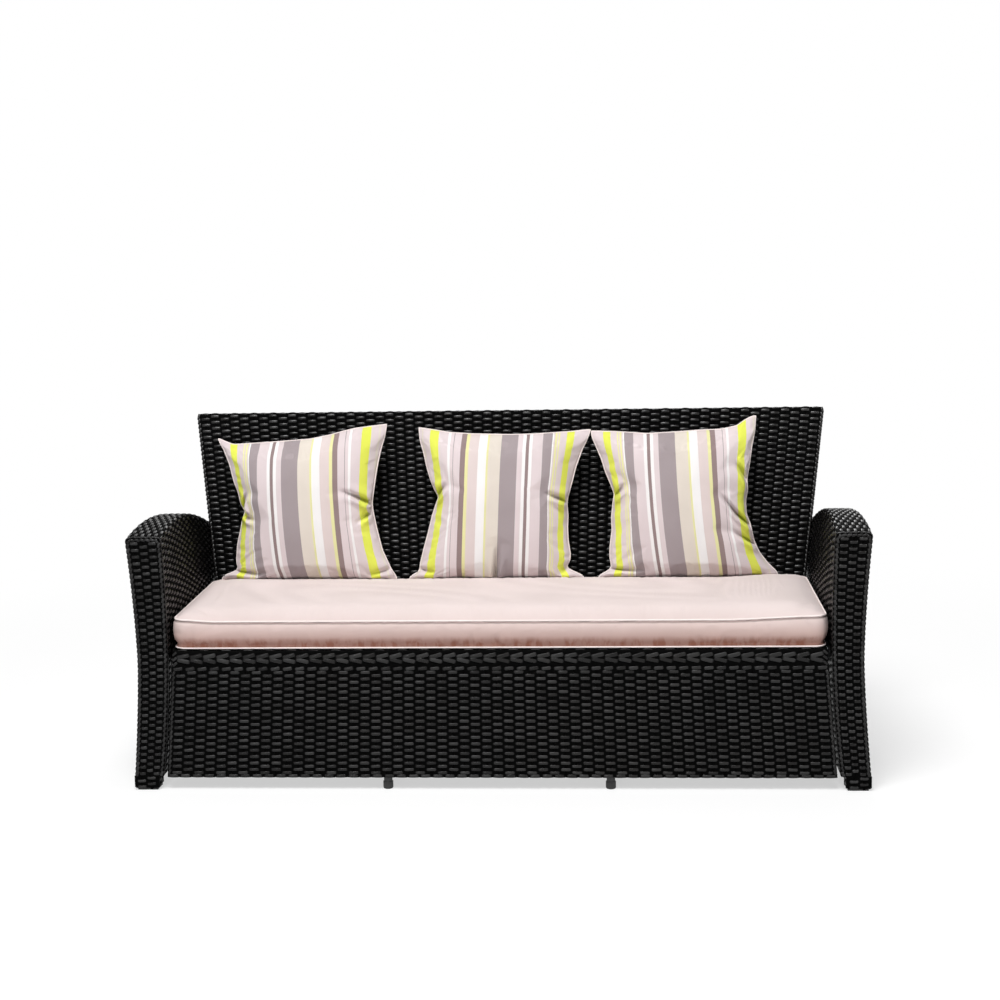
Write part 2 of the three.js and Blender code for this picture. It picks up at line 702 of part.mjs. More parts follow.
function benchEdge() {
  const { cornerRadius } = bench;
  const reach = { x: benchHalf.x - cornerRadius, y: benchHalf.y - cornerRadius };
  const corner = (sx, sy, turn) => spread(turn, turn + Math.PI / 2, benchOutline.cornerSteps)
    .map((a) => [sx * reach.x + cornerRadius * Math.cos(a), sy * reach.y + cornerRadius * Math.sin(a)]);
  const side = (a, b, steps) => spread(0, 1, steps).slice(1, -1)
    .map((t) => [THREE.MathUtils.lerp(a[0], b[0], t), THREE.MathUtils.lerp(a[1], b[1], t)]);
  const corners = [
    corner(1, 1, 0), corner(-1, 1, Math.PI / 2), corner(-1, -1, Math.PI), corner(1, -1, -Math.PI / 2),
  ];
  const steps = [benchOutline.frontSteps, benchOutline.sideSteps];
  return corners.flatMap((points, k) => [
    ...points,
    ...side(points[points.length - 1], corners[(k + 1) % corners.length][0], steps[k % steps.length]),
  ]);
}

// Height of the crowned top over the seam, at a distance in from the edge
const crownHeight = (inwards) => bench.crown
  * (1 - Math.max(0, 1 - inwards / bench.crownFall) ** benchShares.fallCurve);

function benchTop(x, y) {
  const inwards = Math.min(benchHalf.x - Math.abs(x), benchHalf.y - Math.abs(y - benchCentre));
  return benchSeam + crownHeight(inwards);
}

function benchCushion() {
  const edge = benchEdge();
  const { pipingRadius, sideDraw, seamHeight } = bench;
  const inset = (amount, z) => edge.map(([x, y]) => new THREE.Vector3(
    x * (1 - amount / benchHalf.x), benchCentre + y * (1 - amount / benchHalf.y), z));
  const rings = [
    inset(pipingRadius * 2, benchBottom),
    inset(0, benchBottom + pipingRadius),
    inset(pipingRadius, benchBottom + pipingRadius * 2),
    inset(sideDraw, benchBottom + seamHeight / 2),
    inset(pipingRadius, benchSeam - pipingRadius),
    inset(0, benchSeam),
    ...benchShares.rings.map((share) => inset(
      share * bench.crownFall, benchSeam + crownHeight(share * bench.crownFall))),
  ];
  return loft(rings);
}

// Scatter pillows: two puffed faces that meet in a thin seam, leaning on the back

function pillowGeometry(form) {
  const lean = new THREE.Vector2(pillow.topFromFront - pillow.bottomFromFront,
    (form.topStartHeight + form.topEndHeight) / 2).normalize();
  const middle = (form.bottomStart + form.bottomEnd) / 2;
  const low = benchTop(middle, pillow.bottomFromFront) - benchSeam + softGap;
  const steps = pillowSteps;
  const place = (u, v, face) => {
    const rise = (v + 1) / 2;
    const across = (u + 1) / 2;
    const edge = 1 - Math.abs(v - pillowShares.pinchPlace) ** pillowShares.sideCurve;
    const start = THREE.MathUtils.lerp(form.bottomStart, form.topStart, rise)
      + form.startSag * Math.max(0, edge);
    const end = THREE.MathUtils.lerp(form.bottomEnd, form.topEnd, rise)
      - form.endSag * Math.max(0, edge);
    const x = THREE.MathUtils.lerp(start, end, across);
    const y = THREE.MathUtils.lerp(pillow.bottomFromFront, pillow.topFromFront, rise);
    const top = THREE.MathUtils.lerp(form.topStartHeight, form.topEndHeight, across)
      - pillow.topSag * (1 - u * u);
    const z = benchSeam + THREE.MathUtils.lerp(low, top, rise);
    const puff = ((1 - u * u) * (1 - v * v)) ** pillowShares.puff;
    const out = face * (pillow.edgeThickness / 2 + (pillow.halfThickness - pillow.edgeThickness / 2) * puff);
    return new THREE.Vector3(x, y + out * lean.y, z - out * lean.x);
  };
  const points = [];
  const shares = spread(-1, 1, steps);
  [-1, 1].forEach((face) => shares.forEach((v) => shares.forEach((u) => {
    points.push(place(u, v, face));
  })));
  const row = steps + 1;
  const sheet = row * row;
  const triangles = [];
  for (let i = 0; i < steps; i += 1) {
    for (let k = 0; k < steps; k += 1) {
      const a = i * row + k;
      triangles.push([a, a + 1, a + row + 1], [a, a + row + 1, a + row]);
      triangles.push([a + sheet, a + sheet + row + 1, a + sheet + 1],
        [a + sheet, a + sheet + row, a + sheet + row + 1]);
    }
    const rim = [
      [i, i + 1], [(i + 1) * row - 1, (i + 2) * row - 1],
      [steps * row + i + 1, steps * row + i], [(i + 1) * row, i * row],
    ];
    rim.forEach(([a, b]) => triangles.push([b, a, a + sheet], [b, a + sheet, b + sheet]));
  }
  return closedGeometry(points, triangles);
}

const armPieces = { left: addArm('left', 1), right: addArm('right', -1) };
const backPieces = addBack();
addSeat();
addLegs();
addApron();
const ledgers = addLedgers();
addBolts('left', 1, armPieces.left, backPieces, ledgers.left);
addBolts('right', -1, armPieces.right, backPieces, ledgers.right);
addPiece('seat_cushion', benchCushion(), 'cushion');
Object.entries(pillowForms).forEach(([name, form]) => {
  addPiece(name, pillowGeometry(form), 'stripe');
});

// The footprint's middle: from the arms' front faces to the back's rear top edge
const rearTopRise = slope - back.edgeRadius;
const depth = backFace(back.bottom) + rearTopRise * Math.sin(rakeAngle)
  + (back.thickness - back.edgeRadius) * Math.cos(rakeAngle) + back.edgeRadius;
sofa.position.y = -depth / 2;

export default sofa;
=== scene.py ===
import json
import math

import bpy
import numpy as np
from mathutils import Matrix, Vector


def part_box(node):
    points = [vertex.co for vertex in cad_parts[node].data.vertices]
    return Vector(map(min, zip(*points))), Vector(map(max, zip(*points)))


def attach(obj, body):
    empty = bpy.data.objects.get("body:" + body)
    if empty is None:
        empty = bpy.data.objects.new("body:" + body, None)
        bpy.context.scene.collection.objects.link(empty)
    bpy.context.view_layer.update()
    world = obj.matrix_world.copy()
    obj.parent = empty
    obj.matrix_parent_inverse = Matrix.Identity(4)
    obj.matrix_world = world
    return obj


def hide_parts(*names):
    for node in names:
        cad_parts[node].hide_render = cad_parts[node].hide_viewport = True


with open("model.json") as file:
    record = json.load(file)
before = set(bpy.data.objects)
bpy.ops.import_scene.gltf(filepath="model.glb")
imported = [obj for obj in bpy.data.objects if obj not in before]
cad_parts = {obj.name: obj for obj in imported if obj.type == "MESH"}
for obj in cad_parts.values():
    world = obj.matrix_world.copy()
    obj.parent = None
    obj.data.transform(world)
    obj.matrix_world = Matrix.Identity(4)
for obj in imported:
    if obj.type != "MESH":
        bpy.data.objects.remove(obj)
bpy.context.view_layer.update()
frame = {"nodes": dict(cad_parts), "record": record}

bl_info = {
    "name": "Rattan Garden Sofa",
    "version": (1, 0, 0),
    "blender": (4, 5, 0),
    "location": "View3D > Sidebar > Sofa",
    "description": "Weaves, upholsters and stages a rattan garden sofa on its packed frame",
    "category": "Add Mesh",
}

# The sofa's front faces -Y. Lengths are in metres, and boxes are the CAD's.
ARM_LOW, ARM_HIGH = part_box("arm_left_wicker")
DECK_LOW, DECK_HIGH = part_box("seat_deck_wicker")
CUSHION_LOW, CUSHION_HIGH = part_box("seat_cushion")
FRONT, ARM_DEPTH = ARM_LOW.y, ARM_HIGH.y - ARM_LOW.y
FORWARD = (0, -1, 0)

# Slant of the lashings' strands, in radians
LASHING_SLANT = 0.3

# Room that the weave keeps over the floor, and the pillows over the cushion and before the back
WRAP_CLEAR, END_CLEAR, FOOT_CLEAR = 0.0025, 0.002, 0.001
CUSHION_CLEAR, BACK_CLEAR = 0.001, 0.004

# Squares across, along and up the bench cushion's cloth
BENCH_GRID = (216, 66, 14)

# Rises of the cushion's ends, right and left: side, start and length in half widths, and the
# share of the full rise
END_RISES = ((-1, 0.86, 0.12, 0.6), (1, 0.68, 0.30, 1.0))

# The camera's place, and its yaw, pitch and roll in radians, as fitted to the photograph
CAMERA_PLACE = (0.27997, -4.5073, 1.3883)
CAMERA_TURN = (-0.0631, 0.1578, -0.0184)

# Where the lamps look
LAMP_TARGET = Vector((0, 0, 0.45))


# Properties that a user would change

def length(description, default):
    return bpy.props.FloatProperty(
        description=description, default=default, unit="LENGTH", precision=4)


def share(description, default):
    return bpy.props.FloatProperty(description=description, default=default)


def count(description, default):
    return bpy.props.IntProperty(description=description, default=default, min=1)


def colour(description, red, green, blue):
    """A colour given as the 0 to 255 values that a paint chart would show."""
    linear = [(c / 255 / 12.92) if c < 11 else ((c / 255 + 0.055) / 1.055) ** 2.4
              for c in (red, green, blue)]
    return bpy.props.FloatVectorProperty(
        description=description, default=(*linear, 1), size=4, subtype="COLOR", min=0, max=1)


class SofaWeave(bpy.types.PropertyGroup):
    row_pitch: length("Distance between neighbouring strands", 0.0083)
    stake_pitch: length("Distance between the stakes that strands cross", 0.027)
    strand_thickness: length("Thickness of a flat strand", 0.0022)
    wave_height: length("Rise of a strand as it passes over a stake", 0.0014)
    lift: length("Height of the weave's middle over the skin beneath", -0.0004)
    over_share: share("Half length of a crossing, in stake pitches", 0.53)
    width_share: share("Strand width in row pitches", 0.93)
    stake_share: share("Stake width in stake pitches", 0.27)
    edge_margin: length("Width of the lashing along an edge", 0.0095)
    lashing_pitch: length("Distance between the lashing's turns", 0.0125)
    lashing_width: length("Width of a lashing's strand", 0.0068)
    face_columns: count("Stakes across an arm's narrow face", 3)
    band_pitch: length("Distance between the turns of the band's twisted strands", 0.033)
    band_width: length("Width of the band's strands", 0.0112)
    roll_pitch: length("Distance between the turns along the apron's edges", 0.030)
    seed: count("Seed of the strands' small unevenness", 7)


class SofaArms(bpy.types.PropertyGroup):
    front_height: length("Height of the arm's front end", 0.636)
    peak_height: length("Height of the arch over the arm", 0.650)
    peak_from_front: length("Distance of the arch's top from the front", 0.178)
    rear_height: length("Height of the arm's rear end", 0.5713)
    inner_waist: length("Half the clear width between the arms", 0.808)
    outer_waist: length("Half the sofa's width at the arms' waist", 0.883)
    outer_waist_height: length("Height of the arms' narrowest place", 0.330)
    inner_flare_low: length("Inward face's spread at the floor", 0.0294)
    inner_flare_low_top: length("Height where that spread ends", 0.400)
    inner_flare_high: length("Inward face's spread at the top", 0.005)
    inner_flare_start: length("Height where that spread starts", 0.450)
    outer_flare_low: length("Outward face's spread at the floor", 0.024)
    outer_flare_high: length("Outward face's spread at the top", 0.017)
    rear_lean: length("Outward lean of the arm's rear top", 0.021)
    corner_radius: length("Rounding along the arm's top edges", 0.008)


class SofaBack(bpy.types.PropertyGroup):
    bottom: length("Height of the back panel's lower edge", 0.300)
    height: length("Height of the back panel's upper edge", 0.872)
    thickness: length("Thickness of the back panel", 0.036)
    face_from_front: length("Place of its face at seat height", 0.497)
    bottom_half_width: length("Half its width at the bottom", 0.784)
    top_half_width: length("Half its width at the top", 0.858)
    edge_radius: length("Rounding of its edges", 0.009)
    rake: bpy.props.FloatProperty(
        description="Backward lean of the back panel",
        default=math.radians(14.5), subtype="ANGLE")


class SofaCloth(bpy.types.PropertyGroup):
    cushion_gap: length("Height of the cushion's underside over the deck", 0.0024)
    cushion_half_width: length("Half the bench cushion's width", 0.796)
    cushion_front: length("Distance of its front from the arms' front", 0.0165)
    cushion_corner: length("Corner radius of the bench cushion", 0.030)
    cushion_side: length("Height between the two rows of piping", 0.071)
    cushion_crown: length("Rise of the cushion's top over its piping", 0.020)
    end_rise: length("Rise of the cushion's ends between the arms", 0.008)
    crown_fall: length("Distance over which the top falls to its piping", 0.110)
    side_bulge: length("Outward bulge of the cushion's sides", 0.0065)
    side_tuck: length("Inward tuck of the sides over the lower piping", 0.005)
    pucker: length("Depth of the puckers along the lower piping", 0.0030)
    piping_radius: length("Radius of the cushion's piping", 0.0021)
    pillow_thickness: length("Half a pillow's thickness", 0.064)
    lean_low: length("Distance of a pillow's foot from the arms' front", 0.455)
    lean_high: length("Distance of a pillow's head from the arms' front", 0.545)
    fold_depth: length("Depth of the folds at a pillow's sides", 0.034)
    seam_radius: length("Radius of a pillow's sewn edge", 0.0017)
    grid: count("Cloth squares across a pillow", 104)
    frames: count("Steps of the cloth simulation", 20)
    pressure: share("Pressure of the filling in the cloth", 4.0)
    cap: length("Furthest that the simulation may move the cloth", 0.008)


class SofaColours(bpy.types.PropertyGroup):
    strand: colour("Woven strands", 14, 13, 13)
    # painted shade: the skin that shows between the strands is near-black
    gap: colour("Skin between the strands", 4, 4, 4)
    steel: colour("Powder-coated tubes", 30, 30, 31)
    zinc: colour("Plated bolts", 168, 170, 174)
    foot: colour("Moulded caps and glides", 22, 22, 22)
    cushion: colour("Bench cushion cloth", 236, 221, 218)
    piping: colour("Bench cushion piping", 242, 230, 227)
    greige: colour("Ground of the pillow cloth", 224, 210, 211)
    lime: colour("Lime stripes", 230, 236, 92)
    straw: colour("Thin straw-yellow lines", 233, 229, 168)
    cream: colour("Cream stripes", 226, 216, 204)
    white: colour("White stripes", 244, 241, 240)
    grey: colour("Grey stripes", 165, 153, 155)
    brown: colour("Brown stripes", 150, 130, 129)
    beige: colour("Beige stripes", 224, 209, 206)
    floor: colour("Floor and backdrop", 245, 245, 245)


class SofaStage(bpy.types.PropertyGroup):
    focal_length: bpy.props.FloatProperty(
        description="Focal length of the camera, on a 36 mm sensor",
        default=63.785, unit="CAMERA")
    floor_size: length("Width of the floor", 40.0)
    key_power: share("Power of the lamp over the seat", 470.0)
    front_power: share("Power of the small lamp before the sofa", 13.0)
    fill_power: share("Power of the lamp beside the sofa", 16.0)
    rear_power: share("Power of the lamp behind the sofa", 90.0)
    world_strength: share("Brightness of the surrounding room", 0.22)


GROUPS = {
    "sofa_weave": SofaWeave, "sofa_arms": SofaArms, "sofa_back": SofaBack,
    "sofa_cloth": SofaCloth, "sofa_colours": SofaColours, "sofa_stage": SofaStage,
}


# Node trees

class Wire:
    """A node's output. Sums on it add Math nodes."""

    def __init__(self, nodes, socket):
        self.nodes, self.socket = nodes, socket

    def also(self, name):
        return Wire(self.nodes, self.socket.node.outputs[name])

    def math(self, operation, *others):
        return self.nodes.math(operation, self, *others)

    def __add__(self, other):
        return self.math("ADD", other)

    def __radd__(self, other):
        return self.nodes.math("ADD", other, self)

    def __sub__(self, other):
        return self.math("SUBTRACT", other)

    def __rsub__(self, other):
        return self.nodes.math("SUBTRACT", other, self)

    def __mul__(self, other):
        return self.math("MULTIPLY", other)

    def __truediv__(self, other):
        return self.math("DIVIDE", other)

    def __pow__(self, other):
        return self.math("POWER", other)

    def within(self, low, high):
        """0 at low and 1 at high, and flat beyond them."""
        return self.nodes.add("ShaderNodeMapRange", {
            "Value": self, "From Min": low, "From Max": high}, interpolation_type="SMOOTHSTEP")


class Nodes:
    """Adds nodes to one node tree."""

    def __init__(self, tree):
        self.tree = tree

    def add(self, kind, inputs=None, output=0, **settings):
        """A new node: its settings first, then the values or links of its sockets."""
        node = self.tree.nodes.new(kind)
        for name, value in settings.items():
            setattr(node, name, value)
        for name, value in (inputs or {}).items():
            self.join(value, node.inputs[name])
        return Wire(self, node.outputs[output]) if len(node.outputs) else node

    def join(self, value, socket):
        if isinstance(value, Wire):
            self.tree.links.new(value.socket, socket)
        else:
            socket.default_value = value

    def math(self, operation, *terms):
        return self.add("ShaderNodeMath", dict(enumerate(terms)), operation=operation)

    def mix(self, factor, a, b, blend="MIX"):
        return self.add("ShaderNodeMix", {0: factor, 6: a, 7: b}, 2,
                        data_type="RGBA", blend_type=blend)

    def vector(self, x=0.0, y=0.0, z=0.0):
        return self.add("ShaderNodeCombineXYZ", {"X": x, "Y": y, "Z": z})

    def place(self):
        return self.add("ShaderNodeTexCoord", output="Object")

    def split(self, vector=None):
        """The X of a vector or of the place, from which Y and Z can be had also."""
        return self.add("ShaderNodeSeparateXYZ", {0: vector or self.place()})

    def size(self, vector):
        return self.add("ShaderNodeVectorMath", {0: vector}, "Value", operation="LENGTH")

    def attribute(self, name, output="Fac"):
        return self.add("ShaderNodeAttribute", output=output, attribute_name=name)

    def noise(self, scale, detail=3.0, stretch=(1, 1, 1), vector=None):
        """Noise on Object coordinates, in features per metre, from 0 to 1 about 0.5."""
        stretched = self.add("ShaderNodeVectorMath", {
            0: vector or self.place(), 1: stretch}, operation="MULTIPLY")
        return self.add("ShaderNodeTexNoise", {
            "Vector": stretched, "Scale": scale, "Detail": detail})


def emptied(owner):
    """The Nodes of a new material or world, without those it comes with."""
    owner.use_nodes = True
    owner.node_tree.nodes.clear()
    return Nodes(owner.node_tree)


# Materials

# Linear colours that the sofa's own are mixed with
# painted shade for where strands dive under a stake, and for the stakes
PAINTED_DIVE_SHADE = (0.0012, 0.0011, 0.0011, 1)
# a second painted shade tone for the skin between the strands
GAP_SHADE_MOTTLE = (0.003, 0.003, 0.003, 1)
EARTH = (0.0090, 0.0072, 0.0060, 1)
COAL = (0.012, 0.0117, 0.0118, 1)
CHARCOAL = (0.02, 0.02, 0.02, 1)
WORN = (0.60, 0.50, 0.46, 1)
# painted shade on the cushion's sides, deepening towards the bottom
ROSE_PAINTED_SHADE = (0.42, 0.22, 0.17, 1)
# deeper painted shade low on the cushion's sides
LOW_PAINTED_SHADE = (0.26, 0.075, 0.035, 1)
# painted shadow in a line under the cushion's upper piping
UNDER_PIPING_SHADOW_TINT = (0.16, 0.10, 0.09, 1)
WORN_PIPING = (0.62, 0.52, 0.48, 1)
DUST = (0.45, 0.40, 0.38, 1)
WHITE = (1, 1, 1, 1)


def surface(name, tint, roughness, metallic=0.0, bump=None, height=0.0002, unshaded_share=None,
            specular=0.5, sheen=0.0):
    """A material. tint and roughness are values or functions of its Nodes, the bump and the gloss
    mask are such functions, and height is the bump's. Where the gloss mask is 0, it gets a painted
    shade: dull and near-black."""
    material = bpy.data.materials.new(name)
    nodes = emptied(material)
    shader = nodes.add("ShaderNodeBsdfPrincipled", {
        "Base Color": tint(nodes) if callable(tint) else tint,
        "Roughness": roughness(nodes) if callable(roughness) else roughness,
        "Metallic": metallic, "Specular IOR Level": specular, "Sheen Weight": sheen})
    if bump:
        bumped = nodes.add("ShaderNodeBump", {
            "Height": bump(nodes), "Distance": height, "Strength": 1.0})
        nodes.join(bumped, shader.socket.node.inputs["Normal"])
    # where the gloss mask is 0 the surface gets a painted shade, dull and near-black
    if unshaded_share:
        dull = nodes.add("ShaderNodeBsdfPrincipled", {
            "Base Color": PAINTED_DIVE_SHADE, "Roughness": 0.5, "Specular IOR Level": 0.01})
        shader = nodes.add("ShaderNodeMixShader", {0: unshaded_share(nodes), 1: dull, 2: shader})
    nodes.add("ShaderNodeOutputMaterial", {"Surface": shader})
    return material


def strand_material(colours):
    """Extruded strand: near-black plastic with fine lines along it and its own tone, and a dull,
    darker painted shade where it dives under a stake and on the stakes.
    """
    def lines(nodes):
        place = nodes.split(nodes.attribute("strand_place", "Vector"))
        return nodes.noise(3.0, 2.0, vector=nodes.vector(
            place * 2, place.also("Y") * 9, nodes.attribute("tone") * 40))

    def tint(nodes):
        warm = nodes.mix(nodes.noise(4.0, 2.0).within(0.42, 0.62) * 0.6, colours.strand, EARTH)
        return nodes.mix(nodes.attribute("tone") * 0.5, warm, COAL)

    def roughness(nodes):
        return 0.19 + lines(nodes) * 0.10 + nodes.attribute("tone") * 0.10

    # painted shade: where a strand dives, and on the stakes, the surface turns dull and near-black
    def unshaded_share(nodes):
        return nodes.attribute("crest").within(0.05, 0.7) * (
            nodes.attribute("tone") * 0.5 + 0.5)

    return surface("Woven strand", tint, roughness, bump=lines, height=0.00005, unshaded_share=unshaded_share,
                   specular=0.42)


# The skin between the strands gets a painted shade: near-black, mottled between two dark tones,
# with almost no reflection.
def gap_material(colours):
    return surface("Weave gap", lambda n: n.mix(n.noise(160.0), colours.gap, GAP_SHADE_MOTTLE), 0.7,
                   bump=lambda n: n.noise(400.0), specular=0.01)


def steel_material(colours):
    return surface(
        "Powder-coated steel",
        lambda n: n.mix(n.noise(30.0).within(0.3, 0.8) * 0.3, colours.steel, CHARCOAL),
        lambda n: 0.42 + n.noise(90.0) * 0.16, bump=lambda n: n.noise(1400.0, 2.0),
        height=0.00008)


def zinc_material(colours):
    return surface("Zinc plate", colours.zinc, lambda n: 0.24 + n.noise(220.0) * 0.2, 1.0,
                   bump=lambda n: n.noise(900.0), height=0.00005)


def foot_material(colours):
    return surface(
        "Moulded plastic", lambda n: n.mix(n.noise(60.0) * 0.3, colours.foot, CHARCOAL),
        lambda n: 0.45 + n.noise(150.0) * 0.15, bump=lambda n: n.noise(1800.0, 2.0),
        height=0.00006)


def woven_threads(nodes, pitch):
    """Height of a plain cloth's crossing threads."""
    place, turn = nodes.split(), 2 * math.pi / pitch
    across, deep, up = ((place.also(axis) * turn).math("SINE") for axis in "XYZ")
    return across * up + across * deep + nodes.noise(260.0, 4.0) * 1.5


def cushion_material(colours):
    def tint(nodes):
        cloth = bpy.context.scene.sofa_cloth
        half = cloth.cushion_half_width
        place = nodes.split()
        # heights are over the floor, and those of the painted shadow line under the upper piping
        # are taken from that piping
        height = place.also("Z")
        worn = nodes.mix(nodes.noise(7.0, 4.0).within(0.35, 0.7) * 0.12, colours.cushion, WORN)
        # painted shade: the cushion darkens towards the bottom of its sides
        shaded = nodes.mix(height.within(0.453, 0.355) * 0.85, worn, ROSE_PAINTED_SHADE)
        # deeper painted shade low on the sides, in upright streaks
        streaks = nodes.noise(70.0, 2.0, stretch=(1, 1, 0.06)).within(0.38, 0.66)
        shaded_lower = nodes.mix(height.within(0.389, 0.366) * (0.35 + streaks * 0.45), shaded, LOW_PAINTED_SHADE)
        right, left = ((place * side).within(start * half, (start + reach) * half)
                       * (cloth.end_rise * part) for side, start, reach, part in END_RISES)
        under = height - bench_seams(cloth)[1] - (right + left)
        # painted shadow: a dark line just under the upper piping
        piping_shadow_mask = under.within(-0.0085, -0.0055) * under.within(-0.0008, -0.0030)
        return nodes.mix(piping_shadow_mask * 0.6, shaded_lower, UNDER_PIPING_SHADOW_TINT)

    return surface("Cushion cloth", tint, 0.92, bump=lambda n: woven_threads(n, 0.0011),
                   height=0.00015, specular=0.2, sheen=0.15)


def piping_material(colours):
    return surface(
        "Piping cloth", lambda n: n.mix(n.noise(120.0) * 0.25, colours.piping, WORN_PIPING), 0.9,
        bump=lambda n: n.noise(1200.0, 2.0), height=0.0001, specular=0.2)


def stripe_material(colours):
    """Plain upright stripes, as places across the cloth from 0 to 1."""
    c = colours
    stripes = [
        (0.0, c.greige), (0.056, c.lime), (0.100, c.greige), (0.138, c.straw), (0.148, c.greige),
        (0.156, c.straw), (0.165, c.greige), (0.174, c.white), (0.181, c.grey), (0.236, c.greige),
        (0.298, c.white), (0.318, c.brown), (0.339, c.white), (0.356, c.greige),
        (0.387, c.grey), (0.491, c.cream), (0.566, c.straw), (0.576, c.white), (0.626, c.beige),
        (0.684, c.straw), (0.705, c.brown), (0.737, c.greige), (0.778, c.grey),
        (0.784, c.greige), (0.804, c.white), (0.818, c.greige), (0.876, c.lime),
        (0.930, c.greige), (0.974, c.cream), (0.985, c.greige),
    ]

    def tint(nodes):
        painted = nodes.add("ShaderNodeValToRGB", {"Fac": nodes.attribute("across")})
        ramp = painted.socket.node.color_ramp
        ramp.interpolation = "CONSTANT"
        while len(ramp.elements) < len(stripes):
            ramp.elements.new(1.0)
        for element, (place, shade) in zip(ramp.elements, stripes):
            element.position, element.color = place, shade
        return nodes.mix(nodes.noise(9.0, 4.0).within(0.3, 0.75) * 0.12, painted, DUST,
                         "MULTIPLY")

    return surface("Striped cloth", tint, 0.88, bump=lambda n: woven_threads(n, 0.0012),
                   height=0.00015, specular=0.2, sheen=0.1)


def materials():
    """The sofa's materials by name, made once."""
    made = {m.name: m for m in bpy.data.materials if m.get("sofa")}
    if not made:
        for make in (strand_material, gap_material, steel_material, zinc_material,
                     foot_material, cushion_material, piping_material, stripe_material):
            material = make(bpy.context.scene.sofa_colours)
            material["sofa"] = True
            made[material.name] = material
    return made


# Pieces

def new_object(name, data):
    made = bpy.data.objects.new(name, data)
    bpy.context.scene.collection.objects.link(made)
    return made


def new_piece(name, body, data, material=None):
    """An object at the origin that rides on a body of the frame."""
    piece = new_object(name, data)
    if material:
        data.materials.append(material)
    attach(piece, body)
    return piece


def mesh_from(name, points, faces, smooth=True):
    """A mesh whose faces all have four corners and point outwards if it is closed."""
    points, faces = np.asarray(points, float), np.asarray(faces)
    a, b, c, d = (points[faces[:, k]] for k in range(4))
    volume = (a * np.cross(b, c) + a * np.cross(c, d)).sum()
    if volume < 0:
        faces = faces[:, ::-1]
    mesh = bpy.data.meshes.new(name)
    mesh.from_pydata(points.tolist(), [], faces.tolist())
    if smooth:
        mesh.shade_smooth()
    return mesh


# The weave: a crossing at each place where a strand passes a stake

CROSSING_INPUTS = {
    "Crossings": "Geometry", "Wave Height": "Float", "Strand Thickness": "Float",
    "Lift": "Float", "Over Share": "Float", "Width Share": "Float", "Stake Share": "Float",
    "Seed": "Int", "Material": "Material",
}


def stored(nodes, geometry, name, value, data_type="FLOAT", domain="POINT"):
    return nodes.add("GeometryNodeStoreNamedAttribute", {
        "Geometry": geometry, "Name": name, "Value": value}, data_type=data_type, domain=domain)


def flat_round(nodes, width, thickness, points):
    """The flattened round section of a strand, as a closed curve."""
    ring = nodes.add("GeometryNodeCurvePrimitiveCircle", {"Resolution": points, "Radius": 1.0})
    split = nodes.split(nodes.add("GeometryNodeInputPosition"))
    # a quarter turn puts the ring's point on top
    flat = nodes.vector(split.also("Y") * width * 0.51, split * thickness * -0.5, 0.0)
    return nodes.add("GeometryNodeSetPosition", {"Geometry": ring, "Position": flat})


def crossing_piece(nodes, start, end, steps, points, height, width, thickness, crest):
    """A short length of strand from start to end, whose height follows its place. Crest says
    how far it stands out of the weave, from 0 to 1."""
    line = nodes.add("GeometryNodeCurvePrimitiveLine", {"Start": start, "End": end})
    stepped = nodes.add("GeometryNodeResampleCurve", {"Curve": line, "Count": steps})
    bent = nodes.add("GeometryNodeSetPosition", {
        "Geometry": stepped, "Offset": nodes.vector(0.0, 0.0, height)})
    level = nodes.add("GeometryNodeSetCurveNormal", {"Curve": bent}, mode="Z_UP")
    body = nodes.add("GeometryNodeCurveToMesh", {
        "Curve": level, "Profile Curve": flat_round(nodes, width, thickness, points),
        "Fill Caps": True})
    placed = stored(nodes, body, "strand_place", nodes.add("GeometryNodeInputPosition"),
                    "FLOAT_VECTOR")
    return stored(nodes, placed, "crest", crest)


def random(nodes, low, high, seed, kind="FLOAT"):
    low_at, high_at, output = {"FLOAT": (2, 3, 1), "FLOAT_VECTOR": (0, 1, 0)}[kind]
    return nodes.add("FunctionNodeRandomValue", {
        low_at: low, high_at: high, "ID": nodes.add("GeometryNodeInputIndex"), "Seed": seed},
        output, data_type=kind)


